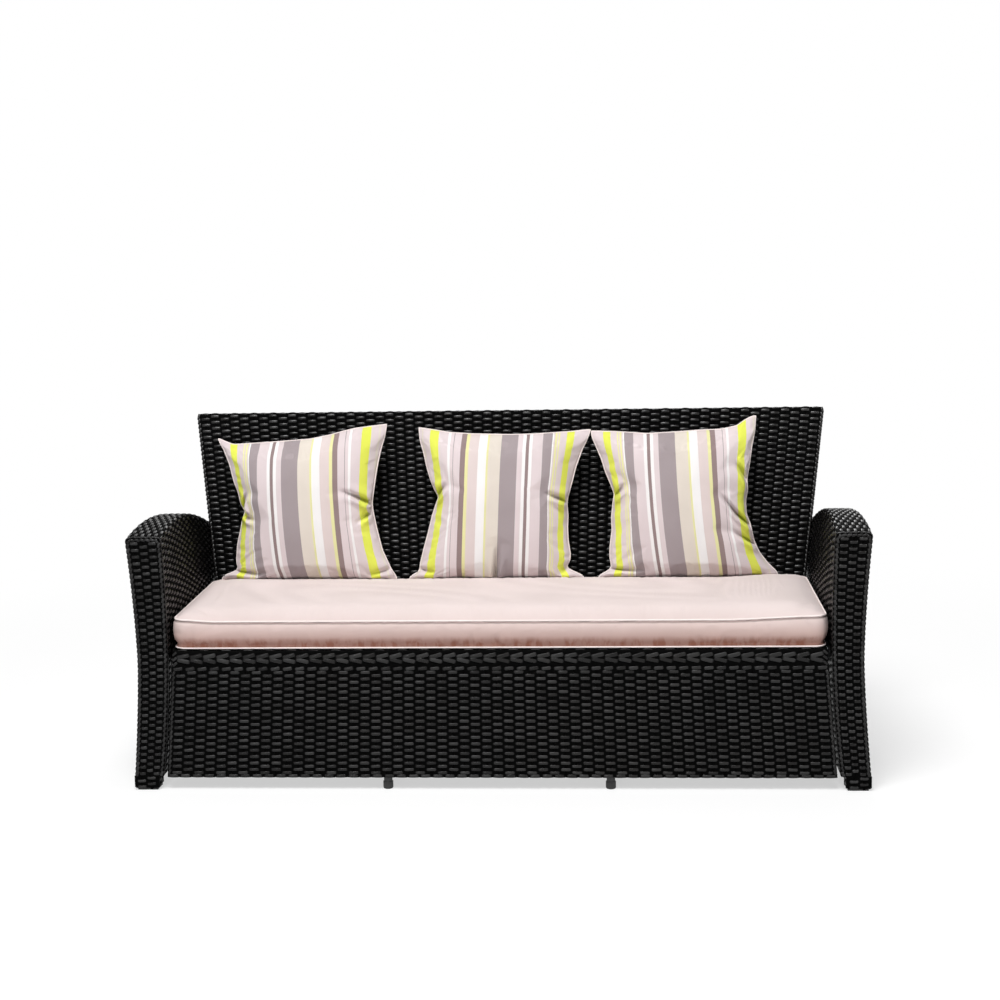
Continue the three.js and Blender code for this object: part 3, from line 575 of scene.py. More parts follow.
def crossings_tree():
    """Puts a length of strand or of stake on each crossing, by turns along rows and columns."""
    tree = bpy.data.node_groups.get("Woven Crossings")
    if tree:
        return tree
    tree = bpy.data.node_groups.new("Woven Crossings", "GeometryNodeTree")
    for name, kind in CROSSING_INPUTS.items():
        tree.interface.new_socket(name, in_out="INPUT", socket_type="NodeSocket" + kind)
    tree.interface.new_socket("Weave", in_out="OUTPUT", socket_type="NodeSocketGeometry")
    nodes = Nodes(tree)
    get = nodes.add("NodeGroupInput").also
    place = nodes.split(nodes.add("GeometryNodeInputPosition"))
    reach = (place / get("Over Share")).math("ABSOLUTE") ** 2.2
    wave = get("Lift") + get("Wave Height") * (1 - reach * 2)
    # the crest is 1 on a strand's top and 0 where it dives and on the stakes; there the strand
    # material paints a dull, near-black shade
    over = crossing_piece(
        nodes, nodes.vector(get("Over Share") * -1), nodes.vector(get("Over Share")), 6, 7,
        wave, get("Width Share"), get("Strand Thickness"), 1 - reach)
    stake = crossing_piece(
        nodes, (0, -0.8, 0), (0, 0.8, 0), 3, 5,
        get("Lift") - place.also("Y") * place.also("Y") * get("Wave Height") * 0.8,
        get("Stake Share"), get("Strand Thickness"), 0.0)

    def named(name, kind="FLOAT_VECTOR"):
        return nodes.add("GeometryNodeInputNamedAttribute", {"Name": name}, data_type=kind)

    along, across, out = named("along"), named("across"), named("out")
    turn = nodes.add("FunctionNodeAxesToRotation", {
        "Primary Axis": out, "Secondary Axis": along}, primary_axis="Z", secondary_axis="X")
    # small unevenness, in radians
    tilt = nodes.add("FunctionNodeEulerToRotation", {
        "Euler": random(nodes, (-0.045, -0.015, -0.028), (0.045, 0.015, 0.028),
                        get("Seed"), "FLOAT_VECTOR")})
    turned = nodes.add("FunctionNodeRotateRotation", {
        "Rotation": turn, "Rotate By": tilt}, rotation_space="LOCAL")
    width = nodes.size(across) * random(nodes, 0.95, 1.03, get("Seed") + 1)
    size = nodes.vector(nodes.size(along), width, 1.0)
    parity = (named("row", "INT") + named("column", "INT")).math("MODULO", 2.0)
    tone = random(nodes, 0.0, 1.0, get("Seed") + 2)
    both = nodes.add("GeometryNodeJoinGeometry")
    for piece, chosen in ((over, "LESS_THAN"), (stake, "GREATER_THAN")):
        placed = nodes.add("GeometryNodeInstanceOnPoints", {
            "Points": get("Crossings"), "Selection": parity.math(chosen, 0.5),
            "Instance": piece, "Rotation": turned, "Scale": size})
        toned = stored(nodes, placed, "tone", tone, domain="INSTANCE")
        tree.links.new(toned.socket, both.socket.node.inputs[0])
    real = nodes.add("GeometryNodeRealizeInstances", {"Geometry": both})
    smooth = nodes.add("GeometryNodeSetShadeSmooth", {"Geometry": real})
    nodes.add("NodeGroupOutput", {0: nodes.add("GeometryNodeSetMaterial", {
        "Geometry": smooth, "Material": get("Material")})})
    return tree


class Crossings:
    """The crossings of one woven piece: places, directions, and row and column numbers."""

    def __init__(self):
        self.rows = {k: [] for k in ("place", "along", "across", "out", "row", "column")}

    def take(self, *rows):
        for name, values in zip(self.rows, rows):
            self.rows[name].append(values)
        return self

    def panel(self, corners, first_row=0, first_column=0, woven=1):
        """Crossings in the cells of a grid of corners, (rows + 1, columns + 1, 3). Along its
        columns, then along its rows, then outwards make a right-handed set of axes."""
        g = np.asarray(corners, float)
        right, left = (g[1:, 1:] + g[:-1, 1:]) / 2, (g[1:, :-1] + g[:-1, :-1]) / 2
        upper, lower = (g[1:, 1:] + g[1:, :-1]) / 2, (g[:-1, 1:] + g[:-1, :-1]) / 2
        along, across = right - left, upper - lower
        out = unit(np.cross(along, across))
        row, column = np.indices(along.shape[:2]) * woven
        return self.take(*(v.reshape(-1, 3) for v in ((right + left) / 2, along, across, out)),
                         row.ravel() + first_row, column.ravel() + first_column)

    def lashing(self, path, out, slant, pitch=None, width=None, overlap=1.25):
        """Strands wound along an edge, one at each pitch of the path, all of them on top. Out
        is the outward direction, or one for each point of the path. Slant turns each strand
        about it, in radians."""
        weave = bpy.context.scene.sofa_weave
        pitch, width = pitch or weave.lashing_pitch, width or weave.lashing_width
        path = np.asarray(path, float)
        even, out = resample(path, even_counts(travelled(path)[-1], pitch),
                             np.broadcast_to(np.asarray(out, float), path.shape))
        step = even[1:] - even[:-1]
        out = (out[1:] + out[:-1]) / 2
        size = np.linalg.norm(step, axis=1, keepdims=True)
        forward = step / size
        out = unit(out - (out * forward).sum(1, keepdims=True) * forward)
        along = forward * math.cos(slant) + np.cross(out, forward) * math.sin(slant)
        top = np.zeros(len(step), int)
        return self.take((even[1:] + even[:-1]) / 2, along * size * overlap,
                         np.cross(out, along) * width, out, top, top)

    def mirrored(self):
        """The same crossings on the sofa's other side, with the outward side kept outward."""
        other, flip = Crossings(), np.array([-1.0, 1.0, 1.0])
        for name, factor in zip(self.rows, (flip, -flip, flip, flip, 1, 1)):
            other.rows[name] = [values * factor for values in self.rows[name]]
        return other

    def weave(self, name):
        """The finished piece, as a plain mesh that rides on the frame."""
        sizes = bpy.context.scene.sofa_weave
        arrays = {k: np.concatenate(groups) for k, groups in self.rows.items()}
        guide = bpy.data.meshes.new(name + "_guide")
        guide.from_pydata(arrays.pop("place").tolist(), [], [])
        for key, values in arrays.items():
            kind, field, number = (("FLOAT_VECTOR", "vector", np.float32) if values.ndim > 1
                                   else ("INT", "value", np.int32))
            layer = guide.attributes.new(key, kind, "POINT")
            layer.data.foreach_set(field, values.astype(number).ravel())
        holder = new_object(name + "_guide", guide)
        modifier = holder.modifiers.new("Weave", "NODES")
        modifier.node_group = crossings_tree()
        for socket in modifier.node_group.interface.items_tree:
            key = socket.name.lower().replace(" ", "_")
            if key in SofaWeave.__annotations__:
                modifier[socket.identifier] = getattr(sizes, key)
            elif key == "material":
                modifier[socket.identifier] = materials()["Woven strand"]
        mesh = evaluated_mesh(holder)
        bpy.data.objects.remove(holder)
        bpy.data.meshes.remove(guide)
        mesh.name = name
        return new_piece(name, "frame", mesh)


def evaluated_mesh(holder):
    depsgraph = bpy.context.evaluated_depsgraph_get()
    depsgraph.update()
    return bpy.data.meshes.new_from_object(
        holder.evaluated_get(depsgraph), preserve_all_data_layers=True, depsgraph=depsgraph)


def travelled(path):
    """The distances along a path of its points."""
    return np.concatenate([[0], np.cumsum(np.linalg.norm(path[1:] - path[:-1], axis=1))])


def resample(path, steps, *others):
    """Points at even steps along a path, and other rows at the same places."""
    reach = travelled(path)
    wanted = np.linspace(0, reach[-1], steps + 1)
    made = [np.stack([np.interp(wanted, reach, column) for column in rows.T], axis=1)
            for rows in (path, *others)]
    return made if others else made[0]


def unit(rows):
    return rows / np.linalg.norm(rows, axis=-1, keepdims=True)


def even_counts(distance, pitch):
    return max(1, round(distance / pitch))


def lerp(a, b, t):
    return a + (b - a) * t


# Arms

def arm_top(arms, y):
    """Height of the arch over the arm, y behind the front."""
    rise = arms.peak_height - arms.front_height
    fall = arms.peak_height - arms.rear_height
    if y < arms.peak_from_front:
        return arms.peak_height - rise * (1 - y / arms.peak_from_front) ** 2
    return arms.peak_height - fall * ((y - arms.peak_from_front)
                                      / (ARM_DEPTH - arms.peak_from_front)) ** 2


def arm_inner(arms, z, y):
    low = max(0, 1 - z / arms.inner_flare_low_top)
    high = max(0, z - arms.inner_flare_start) / (arms.front_height - arms.inner_flare_start)
    return (arms.inner_waist + arms.inner_flare_low * low ** 1.9
            + arms.inner_flare_high * high ** 2 + arms.rear_lean * high * min(1, y / ARM_DEPTH))


def arm_outer(arms, z):
    low = max(0, 1 - z / arms.outer_waist_height)
    high = max(0, z - arms.outer_waist_height) / (arms.front_height - arms.outer_waist_height)
    return (arms.outer_waist + arms.outer_flare_low * low ** 1.4
            + arms.outer_flare_high * high ** 1.7)


def arm_outline(arms, y, bottom):
    """The arm's outline at a distance behind its front: up its outer face, over the top and
    down its inner face."""
    radius = arms.corner_radius
    shoulder = arm_top(arms, y) - radius
    levels = np.linspace(bottom, shoulder, 40)[:-1]
    outer = [(arm_outer(arms, z), z) for z in levels]
    inner = [(arm_inner(arms, z, y), z) for z in levels[::-1]]
    turns = [(radius * math.cos(a), radius * math.sin(a)) for a in np.linspace(0, math.pi / 2, 7)]
    outer_centre = arm_outer(arms, shoulder) - radius
    inner_centre = arm_inner(arms, shoulder, y) + radius
    corners = [(outer_centre + cosine, shoulder + sine) for cosine, sine in turns]
    corners += [(inner_centre - sine, shoulder + cosine) for cosine, sine in turns]
    return np.array([(x, FRONT + y, z) for x, z in outer + corners + inner])


def arm_wrap(arms, weave):
    """The woven wrap over an arm's two sides and top, its strands running front to back."""
    margin = weave.edge_margin
    columns = even_counts(ARM_DEPTH - 2 * margin, weave.stake_pitch)
    bottom = ARM_LOW.z + WRAP_CLEAR
    rows = even_counts(travelled(arm_outline(arms, 0, bottom))[-1], weave.row_pitch)
    grid = np.stack([resample(arm_outline(arms, y, bottom), rows)
                     for y in np.linspace(margin, ARM_DEPTH - margin, columns + 1)], axis=1)
    ridge = rows // 2
    return {"outer_weave": Crossings().panel(grid[:ridge + 1]),
            "inner_weave": Crossings().panel(grid[ridge:], first_row=ridge)}


def arm_ends(arms, weave):
    """The arm's narrow front and rear faces, and the lashing round their edges."""
    margin = weave.edge_margin
    made = Crossings()
    for y, facing in ((0.0, 1), (ARM_DEPTH, -1)):
        head = arm_top(arms, y) - margin
        levels = np.linspace(ARM_LOW.z + END_CLEAR, head,
                             even_counts(head - ARM_LOW.z, weave.row_pitch) + 1)
        shares = np.linspace(0, 1, weave.face_columns + 1)[::facing]
        made.panel([[(lerp(arm_inner(arms, z, y) + margin, arm_outer(arms, z) - margin, s),
                      FRONT + y, z) for s in shares] for z in levels])
        outline = arm_outline(arms, y, ARM_LOW.z)
        inset = margin * 0.52
        side = arm_outline(arms, abs(y - inset), ARM_LOW.z)
        for path, out, slant in (
                (outline - outline_normals(outline) * inset, (0, -facing, 0), LASHING_SLANT),
                (side, outline_normals(side), -LASHING_SLANT)):
            made.lashing(path, out, slant * facing)
    return made


def outline_normals(outline):
    """Outward normals of an outline in XZ that runs up the outer face and down the inner one."""
    step = np.gradient(outline, axis=0)
    return unit(np.stack([step[:, 2], np.zeros(len(step)), -step[:, 0]], axis=1))


def foot_faces(weave, node, clear=0.006):
    """The woven faces of one wrapped foot."""
    low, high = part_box(node)
    made = Crossings()
    rows = even_counts(high.z - low.z - 2 * FOOT_CLEAR, weave.row_pitch)
    levels = np.linspace(low.z + FOOT_CLEAR, high.z - FOOT_CLEAR, rows + 1)
    corners = [(low.x, low.y), (high.x, low.y), (high.x, high.y), (low.x, high.y)]
    for (x0, y0), (x1, y1) in zip(corners, corners[1:] + corners[:1]):
        reach = math.hypot(x1 - x0, y1 - y0)
        shares = np.linspace(clear / reach, 1 - clear / reach, 3)
        made.panel([[(lerp(x0, x1, s), lerp(y0, y1, s), z) for s in shares] for z in levels])
    return made


# Back

def back_rises(back):
    """Distances up the back panel's slope of its top and of the seat deck."""
    return ((back.height - back.bottom) / math.cos(back.rake),
            (DECK_HIGH.z - back.bottom) / math.cos(back.rake))


def back_place(back, x_share, rise, depth):
    """A place on the back panel: across it from -1 to 1, up its slope, and into it."""
    sine, cosine = math.sin(back.rake), math.cos(back.rake)
    half = lerp(back.bottom_half_width, back.top_half_width, rise / back_rises(back)[0])
    start = back.face_from_front + math.tan(back.rake) * (back.bottom - DECK_HIGH.z)
    return (x_share * half,
            FRONT + start + rise * sine + depth * cosine,
            back.bottom + rise * cosine - depth * sine)


def back_section(back):
    """The path of (rise, depth) up the back's face from the deck, over its top and down its
    rear."""
    slope, deck = back_rises(back)
    radius, top, deep = back.edge_radius, slope - back.edge_radius, back.thickness
    turns = [(radius * math.cos(a), radius * math.sin(a)) for a in np.linspace(0, math.pi / 2, 6)]
    path = [(deck, 0.0)] + [(top + sine * 0.9, radius - cosine) for cosine, sine in turns]
    path += [(top + cosine * 0.9, deep - radius + sine) for cosine, sine in turns]
    return np.array(path + [(0.0, deep)])


def back_panels(back, weave):
    """Crossings of the back's face with its top, and of its rear."""
    section = back_section(back)
    even = resample(section, even_counts(travelled(section)[-1], weave.row_pitch))
    columns = even_counts(2 * back.top_half_width - 2 * weave.edge_margin, weave.stake_pitch)
    reach = 1 - weave.edge_margin / back.top_half_width
    shares = np.linspace(-reach, reach, columns + 1)
    grid = np.array([[back_place(back, s, r, d) for s in shares] for r, d in even])
    over = int(np.argmax(even[:, 1] >= back.thickness - back.edge_radius))
    half = columns // 2
    return {
        "back_face_weave_right": Crossings().panel(grid[:over + 1, :half + 1]),
        "back_face_weave_left": Crossings().panel(grid[:over + 1, half:], first_column=half),
        "back_rear_weave_right": Crossings().panel(grid[over:, :half + 1], over),
        "back_rear_weave_left": Crossings().panel(grid[over:, half:], over, half),
    }


def back_edges(back, weave):
    """The lashings up the back's side edges and the turns of strand across their thickness."""
    slope, deck = back_rises(back)
    tilt = np.array([0.0, -math.cos(back.rake), math.sin(back.rake)])
    made = Crossings()
    inset = 1 - weave.edge_margin / 2 / back.top_half_width
    rises = np.linspace(0.0, slope - back.edge_radius, even_counts(slope, weave.row_pitch) + 1)
    depths = (back.edge_radius * 0.6, back.thickness - back.edge_radius * 0.6)
    for side in (1, -1):
        for depth, facing, start in ((0.0, 1, deck), (back.thickness, -1, 0.0)):
            path = [back_place(back, side * inset, rise, depth)
                    for rise in np.linspace(start, slope - back.edge_radius / 2, 30)]
            made.lashing(path, tilt * facing, LASHING_SLANT * side * facing)
        made.panel([[back_place(back, side, rise, depth) for depth in depths[::side]]
                    for rise in rises], woven=0)
    return made


# Seat and apron


def flat_panel(corners, columns, rows):
    """A grid between four corners: lower left, lower right, upper right, upper left."""
    a, b, c, d = (np.array(p, float) for p in corners)
    return [[lerp(lerp(a, b, s), lerp(d, c, s), t) for s in np.linspace(0, 1, columns + 1)]
            for t in np.linspace(0, 1, rows + 1)]


def seat_panels(weave):
    """Crossings of the seat deck, and of the wrapped band along its front."""
    low, high = DECK_LOW, DECK_HIGH
    margin, inset = weave.edge_margin, 0.005
    x0, x1, y0, y1 = low.x + margin, high.x - margin, low.y + inset, high.y - inset
    top = flat_panel([(x0, y0, high.z), (x1, y0, high.z), (x1, y1, high.z), (x0, y1, high.z)],
                     even_counts(high.x - low.x - 2 * margin, weave.stake_pitch),
                     even_counts(high.y - low.y - 2 * inset, weave.row_pitch))
    band = Crossings()
    middle, half = (low.z + high.z) / 2 + 0.001, weave.band_width * 0.52
    for side in (1, -1):
        z = middle + half * side
        band.lashing([(x0, low.y, z), (x1, low.y, z)], FORWARD, 0.22 * side, weave.band_pitch,
                     weave.band_width, overlap=1.12)
    for side in (-1, 1):
        x = (high.x - margin / 2) * side
        band.lashing([(x, low.y, low.z), (x, low.y, high.z)], FORWARD, 0.9 * side)
    return {"seat_deck_weave": Crossings().panel(top), "seat_band_weave": band}


def apron_panel(weave):
    """Crossings of the apron, the rolls along its head and foot and its side lashings."""
    low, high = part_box("apron_wicker")
    mesh = frame["nodes"]["apron_wicker"].data
    top_half = max(v.co.x for v in mesh.vertices if v.co.z > high.z - 0.001)
    margin = weave.edge_margin
    base, head = low.z + margin * 0.8, high.z - margin * 1.1

    def half(z):
        return lerp(high.x, top_half, (z - low.z) / (high.z - low.z)) - margin

    made = Crossings().panel(flat_panel(
        [(-half(base), low.y, base), (half(base), low.y, base),
         (half(head), low.y, head), (-half(head), low.y, head)],
        even_counts(2 * half(head), weave.stake_pitch), even_counts(head - base, weave.row_pitch)))
    for z, slant in ((high.z - margin * 0.55, 0.1), (low.z + margin * 0.35, 0.0)):
        reach = half(z) + margin
        made.lashing([(-reach, low.y, z), (reach, low.y, z)], FORWARD, slant,
                     weave.roll_pitch, margin, overlap=0.88)
    for side in (-1, 1):
        made.lashing([(side * (half(z) + margin / 2), low.y, z) for z in (base, head)], FORWARD,
                     LASHING_SLANT * side)
    return made


# Cloth

def square_to_cushion(u, v, half_x, half_y, radius):
    """A place in a rectangle with round corners, from a place in the square from -1 to 1."""
    reach = max(abs(u), abs(v))
    if reach == 0:
        return 0.0, 0.0
    su, sv = u / reach, v / reach
    x, y = su * half_x, sv * half_y
    dx, dy = abs(x) - (half_x - radius), abs(y) - (half_y - radius)
    if dx > 0 and dy > 0:
        turn = math.pi / 4 * (1 + (dy - dx) / radius)
        x = math.copysign(half_x - radius + radius * math.cos(turn), x)
        y = math.copysign(half_y - radius + radius * math.sin(turn), y)
    return x * reach, y * reach


def bench_seams(cloth):
    """Heights of the bench cushion's two rows of piping."""
    base = DECK_HIGH.z + cloth.cushion_gap
    return base + cloth.piping_radius * 1.2, CUSHION_LOW.z + cloth.cushion_side


def bench_reach(cloth):
    """Half the bench cushion's width and depth, and its middle along Y."""
    front, rear = FRONT + cloth.cushion_front, CUSHION_HIGH.y
    return cloth.cushion_half_width, (rear - front) / 2, (rear + front) / 2


def crown(cloth, edge):
    """Rise of the cushion's top over its piping, at a distance from its edge."""
    nearness = np.clip(1 - np.asarray(edge) / cloth.crown_fall, 0, 1)
    return cloth.cushion_crown * (1 - nearness ** 2.2)


def end_rise(cloth, x):
    """Rise of the cushion towards its ends, where the arms press it."""
    half, total = cloth.cushion_half_width, 0
    for side, start, reach, part in END_RISES:
        t = np.clip((side * np.asarray(x) - start * half) / (reach * half), 0, 1)
        total = total + t ** 2 * (3 - 2 * t) * part
    return cloth.end_rise * total


def cushion_top(cloth, x, y):
    """Height of the cushion's top under a place."""
    half_x, half_y, middle = bench_reach(cloth)
    edge = np.minimum(half_x - np.abs(x), half_y - np.abs(y - middle))
    return bench_seams(cloth)[1] + crown(cloth, np.maximum(edge, 0)) + end_rise(cloth, x)


def ripple(x, lengths=(0.047, 0.031, 0.083, 0.0213)):
    """Uneven waves along the cushion's side, from -1 to 1."""
    waves = [math.sin(2 * math.pi * x / reach + 7 * k) for k, reach in enumerate(lengths)]
    return sum(waves) / len(waves) * (0.6 + 0.4 * math.sin(9 * x + 1))


def bell(place, middle, width):
    return math.exp(-((place - middle) / width) ** 2)


def ring_steps(ring):
    """The way along a closed ring at each of its points."""
    return np.roll(ring, -1, 0) - np.roll(ring, 1, 0)


def grid_rim(across, deep):
    """The places round a grid of cloth, in order."""
    return ([(i, 0) for i in range(across)] + [(across, j) for j in range(deep)]
            + [(i, deep) for i in range(across, 0, -1)] + [(0, j) for j in range(deep, 0, -1)])


def grid_face(numbers, side, i, j, forward):
    """The point numbers round one square of a side's grid, forward or in reverse."""
    ring = [numbers[side, i + a, j + b] for a, b in ((0, 0), (1, 0), (1, 1), (0, 1))]
    return ring if forward else ring[::-1]


def bench_mesh(cloth):
    """The bench cushion: boxed sides between two seams, and a crowned top. Returns the mesh
    and the numbers of the points on its two seams."""
    half_x, half_y, middle = bench_reach(cloth)
    seams = bench_seams(cloth)
    across, deep, tall = BENCH_GRID
    us, vs = np.linspace(-1, 1, across + 1), np.linspace(-1, 1, deep + 1)
    points, numbers = [], {}
    for top in (False, True):
        for i, u in enumerate(us):
            for j, v in enumerate(vs):
                x, y = square_to_cushion(u, v, half_x, half_y, cloth.cushion_corner)
                edge = min(half_x * (1 - abs(u)), half_y * (1 - abs(v)))
                if top:
                    slack = 0.0012 * math.sin(5 * x + 3 * y) * math.sin(8 * y + 2 * x) * min(
                        1, edge / 0.08)
                    z = seams[1] + float(crown(cloth, edge) + end_rise(cloth, x)) + slack
                else:
                    z = seams[0] - cloth.piping_radius * (1 - max(0.0, 1 - edge / 0.03) ** 2)
                numbers[top, i, j] = len(points)
                points.append((x, middle + y, z))
    rim = grid_rim(across, deep)
    rings = [[numbers[False, *place] for place in rim]]
    base = np.array([points[k] for k in rings[0]])
    tangent = ring_steps(base)
    outward = unit(np.stack([tangent[:, 1], -tangent[:, 0], np.zeros(len(rim))], axis=1))
    travelled = np.cumsum(np.linalg.norm(base - np.roll(base, 1, 0), axis=1))
    for k in range(1, tall):
        t = k / tall
        bulge = cloth.side_bulge * math.sin(math.pi * t) ** 0.8 * (0.35 + 0.65 * t)
        tuck = cloth.side_tuck * (bell(t, 0.1, 0.14) + 0.4 * bell(t, 0.95, 0.05))
        creased = cloth.pucker * (bell(t, 0.2, 0.2) + 0.35 * bell(t, 0.9, 0.12))
        rings.append(list(range(len(points), len(points) + len(rim))))
        for place, out, run in zip(base, outward, travelled):
            side = bulge - tuck + creased * ripple(run + 0.01 * t)
            tall_here = seams[1] - seams[0] + float(end_rise(cloth, place[0]))
            points.append(tuple(place + out * side + np.array([0, 0, tall_here * t])))
    rings.append([numbers[True, *place] for place in rim])
    faces = []
    for i in range(across):
        for j in range(deep):
            for top in (True, False):
                faces.append(grid_face(numbers, top, i, j, top))
    for lower, upper in zip(rings, rings[1:]):
        for k in range(len(rim)):
            n = (k + 1) % len(rim)
            faces.append([lower[k], lower[n], upper[n], upper[k]])
    return mesh_from("seat_cushion_cloth", points, faces), rings[0], rings[-1]


# A pillow's ground is the strip that its stripes run down: the x of its two sides at the top and
# at the bottom, and how late it turns from one to the other. Its rise is the height of its head
# over the seam, left and right. Each side is drawn in by the second number, in millimetres, at
# the first number's thousandths of the way down, or pushed out into an ear where that is
# negative. The head is lowered along its edge in the same way. A fold starts at a share across
# and down, runs by its step, and has a strength.

PILLOWS = {
    "pillow_right": {
        "ground": ((-0.769, -0.3356), (-0.7426, -0.310), 2.0), "rise": (0.388, 0.421),
        "left": [(0, -12), (30, -7), (80, 4), (180, 19), (300, 30), (370, 40), (460, 47),
                 (500, 58), (540, 50), (640, 40), (740, 29), (870, 21), (920, 24), (950, 10),
                 (985, -24), (1000, -24)],
        "right": [(0, -15), (80, -9), (160, 2), (280, 14), (390, 23), (490, 31), (540, 30),
                  (650, 24), (810, 13), (870, 4), (930, -4), (985, -16), (1000, -16)],
        "head": [(0, 0), (30, 8), (80, 20), (300, 22), (550, 23), (670, 17), (830, 4), (1000, 0)],
        "folds": [(1.0, .50, -.21, -.085, 1.5), (1.0, .54, -.12, .07, .8),
                  (0.0, .50, .08, -.12, 1.2), (0.02, .52, .13, .03, .8), (.0, .94, .2, .02, .9),
                  (1.0, .93, -.12, .04, .9)],
        "mirrored": False},
    "pillow_centre": {
        "ground": ((-0.229, 0.205), (-0.243, 0.189), 1.0), "rise": (0.411, 0.401),
        "left": [(0, -4), (80, 0), (170, 12), (250, 20), (350, 34), (410, 46), (445, 56),
                 (480, 50), (560, 40), (670, 31), (790, 20), (890, 12), (950, 10), (985, -16),
                 (1000, -16)],
        "right": [(0, -23), (60, -15), (130, -2), (250, 14), (330, 21), (440, 32), (490, 34),
                  (560, 30), (650, 30), (740, 27), (830, 20), (880, 21), (915, 30), (940, 22),
                  (985, -18), (1000, -18)],
        "head": [(0, 0), (100, 6), (180, 12), (320, 15), (550, 16), (720, 13), (900, 6),
                 (1000, 0)],
        "folds": [(0.0, .44, .12, -.07, 1.3), (1.0, .47, -.16, -.05, 1.5),
                  (.5, 1.0, .01, -.19, 1.1), (1.0, .92, -.1, .05, 1.0),
                  (0.0, .93, .1, .03, .8)],
        "mirrored": True},
    "pillow_left": {
        "ground": ((0.239, 0.671), (0.268, 0.701), 2.0), "rise": (0.397, 0.433),
        "left": [(0, -8), (30, -8), (105, 4), (186, 17), (270, 26), (350, 38), (420, 47),
                 (450, 43), (570, 34), (660, 32), (780, 21), (850, 17), (920, 18), (950, 8),
                 (985, -21), (1000, -21)],
        "right": [(0, 4), (100, 8), (190, 17), (285, 24), (385, 34), (450, 34), (517, 42),
                  (600, 43), (665, 35), (770, 31), (850, 21), (930, 1), (985, -18), (1000, -18)],
        "head": [(0, 0), (150, 8), (320, 20), (500, 23), (650, 24), (780, 27), (880, 22),
                 (920, 11), (970, 1), (1000, 0)],
        "folds": [(0.0, .43, .11, -.06, 1.1), (1.0, .40, -.10, -.13, 1.0),
                  (1.0, .68, -.20, -.20, 1.5), (1.0, .80, -.14, -.10, .9),
                  (0.0, .94, .18, .02, .9)],
        "mirrored": False},
}


def follow(table, place):
    """A smooth curve through a table of places and values."""
    places, values = np.array(table).T / 1000
    ease = np.interp(place + np.array([-.02, -.01, 0, .01, .02]), places, values)
    return float(ease @ np.array([.1, .2, .4, .2, .1]))


def gather(share_across, drawn_left, drawn_right, reach=0.25):
    """Sideways move of the cloth at a share across it, where its sides are drawn in."""
    left = max(0.0, 1 - share_across / reach) ** 1.15
    right = max(0.0, 1 - (1 - share_across) / reach) ** 1.15
    return drawn_left * left - drawn_right * right


def fold_height(folds, across, down):
    """Depth of a pillow's folds at a place, as a share of the deepest. Each is a narrow valley
    with a fuller lip above it."""
    total = 0.0
    for start_x, start_y, step_x, step_y, strength in folds:
        reach = math.hypot(step_x, step_y)
        dx, dy = across - start_x, down - start_y
        run = (dx * step_x + dy * step_y) / reach
        aside = (dx * step_y - dy * step_x) / reach * (1 if step_x < 0 else -1)
        if -0.05 < run < reach * 1.3:
            fade = max(0.0, 1 - max(0.0, run) / (reach * 1.3))
            total += strength * fade * (
                -bell(aside, 0, 0.013) + 0.45 * bell(aside, 0.035, 0.022)
                + 0.2 * bell(aside, -0.035, 0.03))
    return total


def pillow_mesh(cloth, name, form):
    """A pillow of two puffed faces sewn along a thin seam, leaning on the back. Returns the mesh
    and the numbers of its seam points, in order."""
    foot_y, head_y = FRONT + cloth.lean_low, FRONT + cloth.lean_high
    seam_height = bench_seams(cloth)[1]
    steps = cloth.grid
    lean = Vector((head_y - foot_y, 0.405)).normalized()
    (top_left, top_right), (foot_left, foot_right), bend = form["ground"]
    # squares are finer towards the edges
    even = np.linspace(-1, 1, steps + 1)
    spaced = 0.55 * even + 0.45 * np.sin(even * math.pi / 2)
    points, numbers, spread_across = [], {}, []
    for j, v in enumerate(spaced):
        down = (1 - v) / 2
        turn = down ** bend
        left, right = follow(form["left"], down), follow(form["right"], down)
        for i, u in enumerate(spaced):
            across = (u + 1) / 2
            x = lerp(lerp(top_left, foot_left, turn), lerp(top_right, foot_right, turn), across)
            moved = gather(across, left, right)
            x += moved
            straight = across + moved / (top_right - top_left)
            y = lerp(head_y, foot_y, down)
            foot = float(cushion_top(cloth, x, y)) + 0.002
            head = seam_height + lerp(*form["rise"], across) - follow(form["head"], across)
            z = lerp(head, foot, down)
            rim = i in (0, steps) or j in (0, steps)
            # a pillow's weight fills out its lower half
            puff = (1 - u * u) ** 0.42 * (1 - v * v) ** (0.42 + 0.17 * min(0.0, v))
            ends = 1 - 0.25 * abs(u) ** 4
            for face in (-1, 1):
                if rim and face > 0:
                    numbers[face, i, j] = numbers[-1, i, j]
                    continue
                creased = fold_height(form["folds"], across, down) * cloth.fold_depth
                out = (cloth.pillow_thickness - 0.006) * puff * ends
                out = face * max(0.005 * puff, out + creased * min(1, puff * 2.2) * (face < 0))
                numbers[face, i, j] = len(points)
                points.append((x, y + out * lean.y, z - out * lean.x))
                marked = lerp(straight, across, 0.45)
                spread_across.append(1 - marked if form["mirrored"] else marked)
    faces = []
    for face in (-1, 1):
        for j in range(steps):
            for i in range(steps):
                faces.append(grid_face(numbers, face, i, j, face < 0))
    mesh = mesh_from(name + "_cloth", points, faces)
    layer = mesh.attributes.new("across", "FLOAT", "POINT")
    layer.data.foreach_set("value", spread_across)
    return mesh, [numbers[-1, *place] for place in grid_rim(steps, steps)]


def points_of(mesh):
    return np.array([v.co for v in mesh.vertices])


def set_points(mesh, places):
    mesh.vertices.foreach_set("co", places.astype(np.float32).ravel())
    mesh.update()


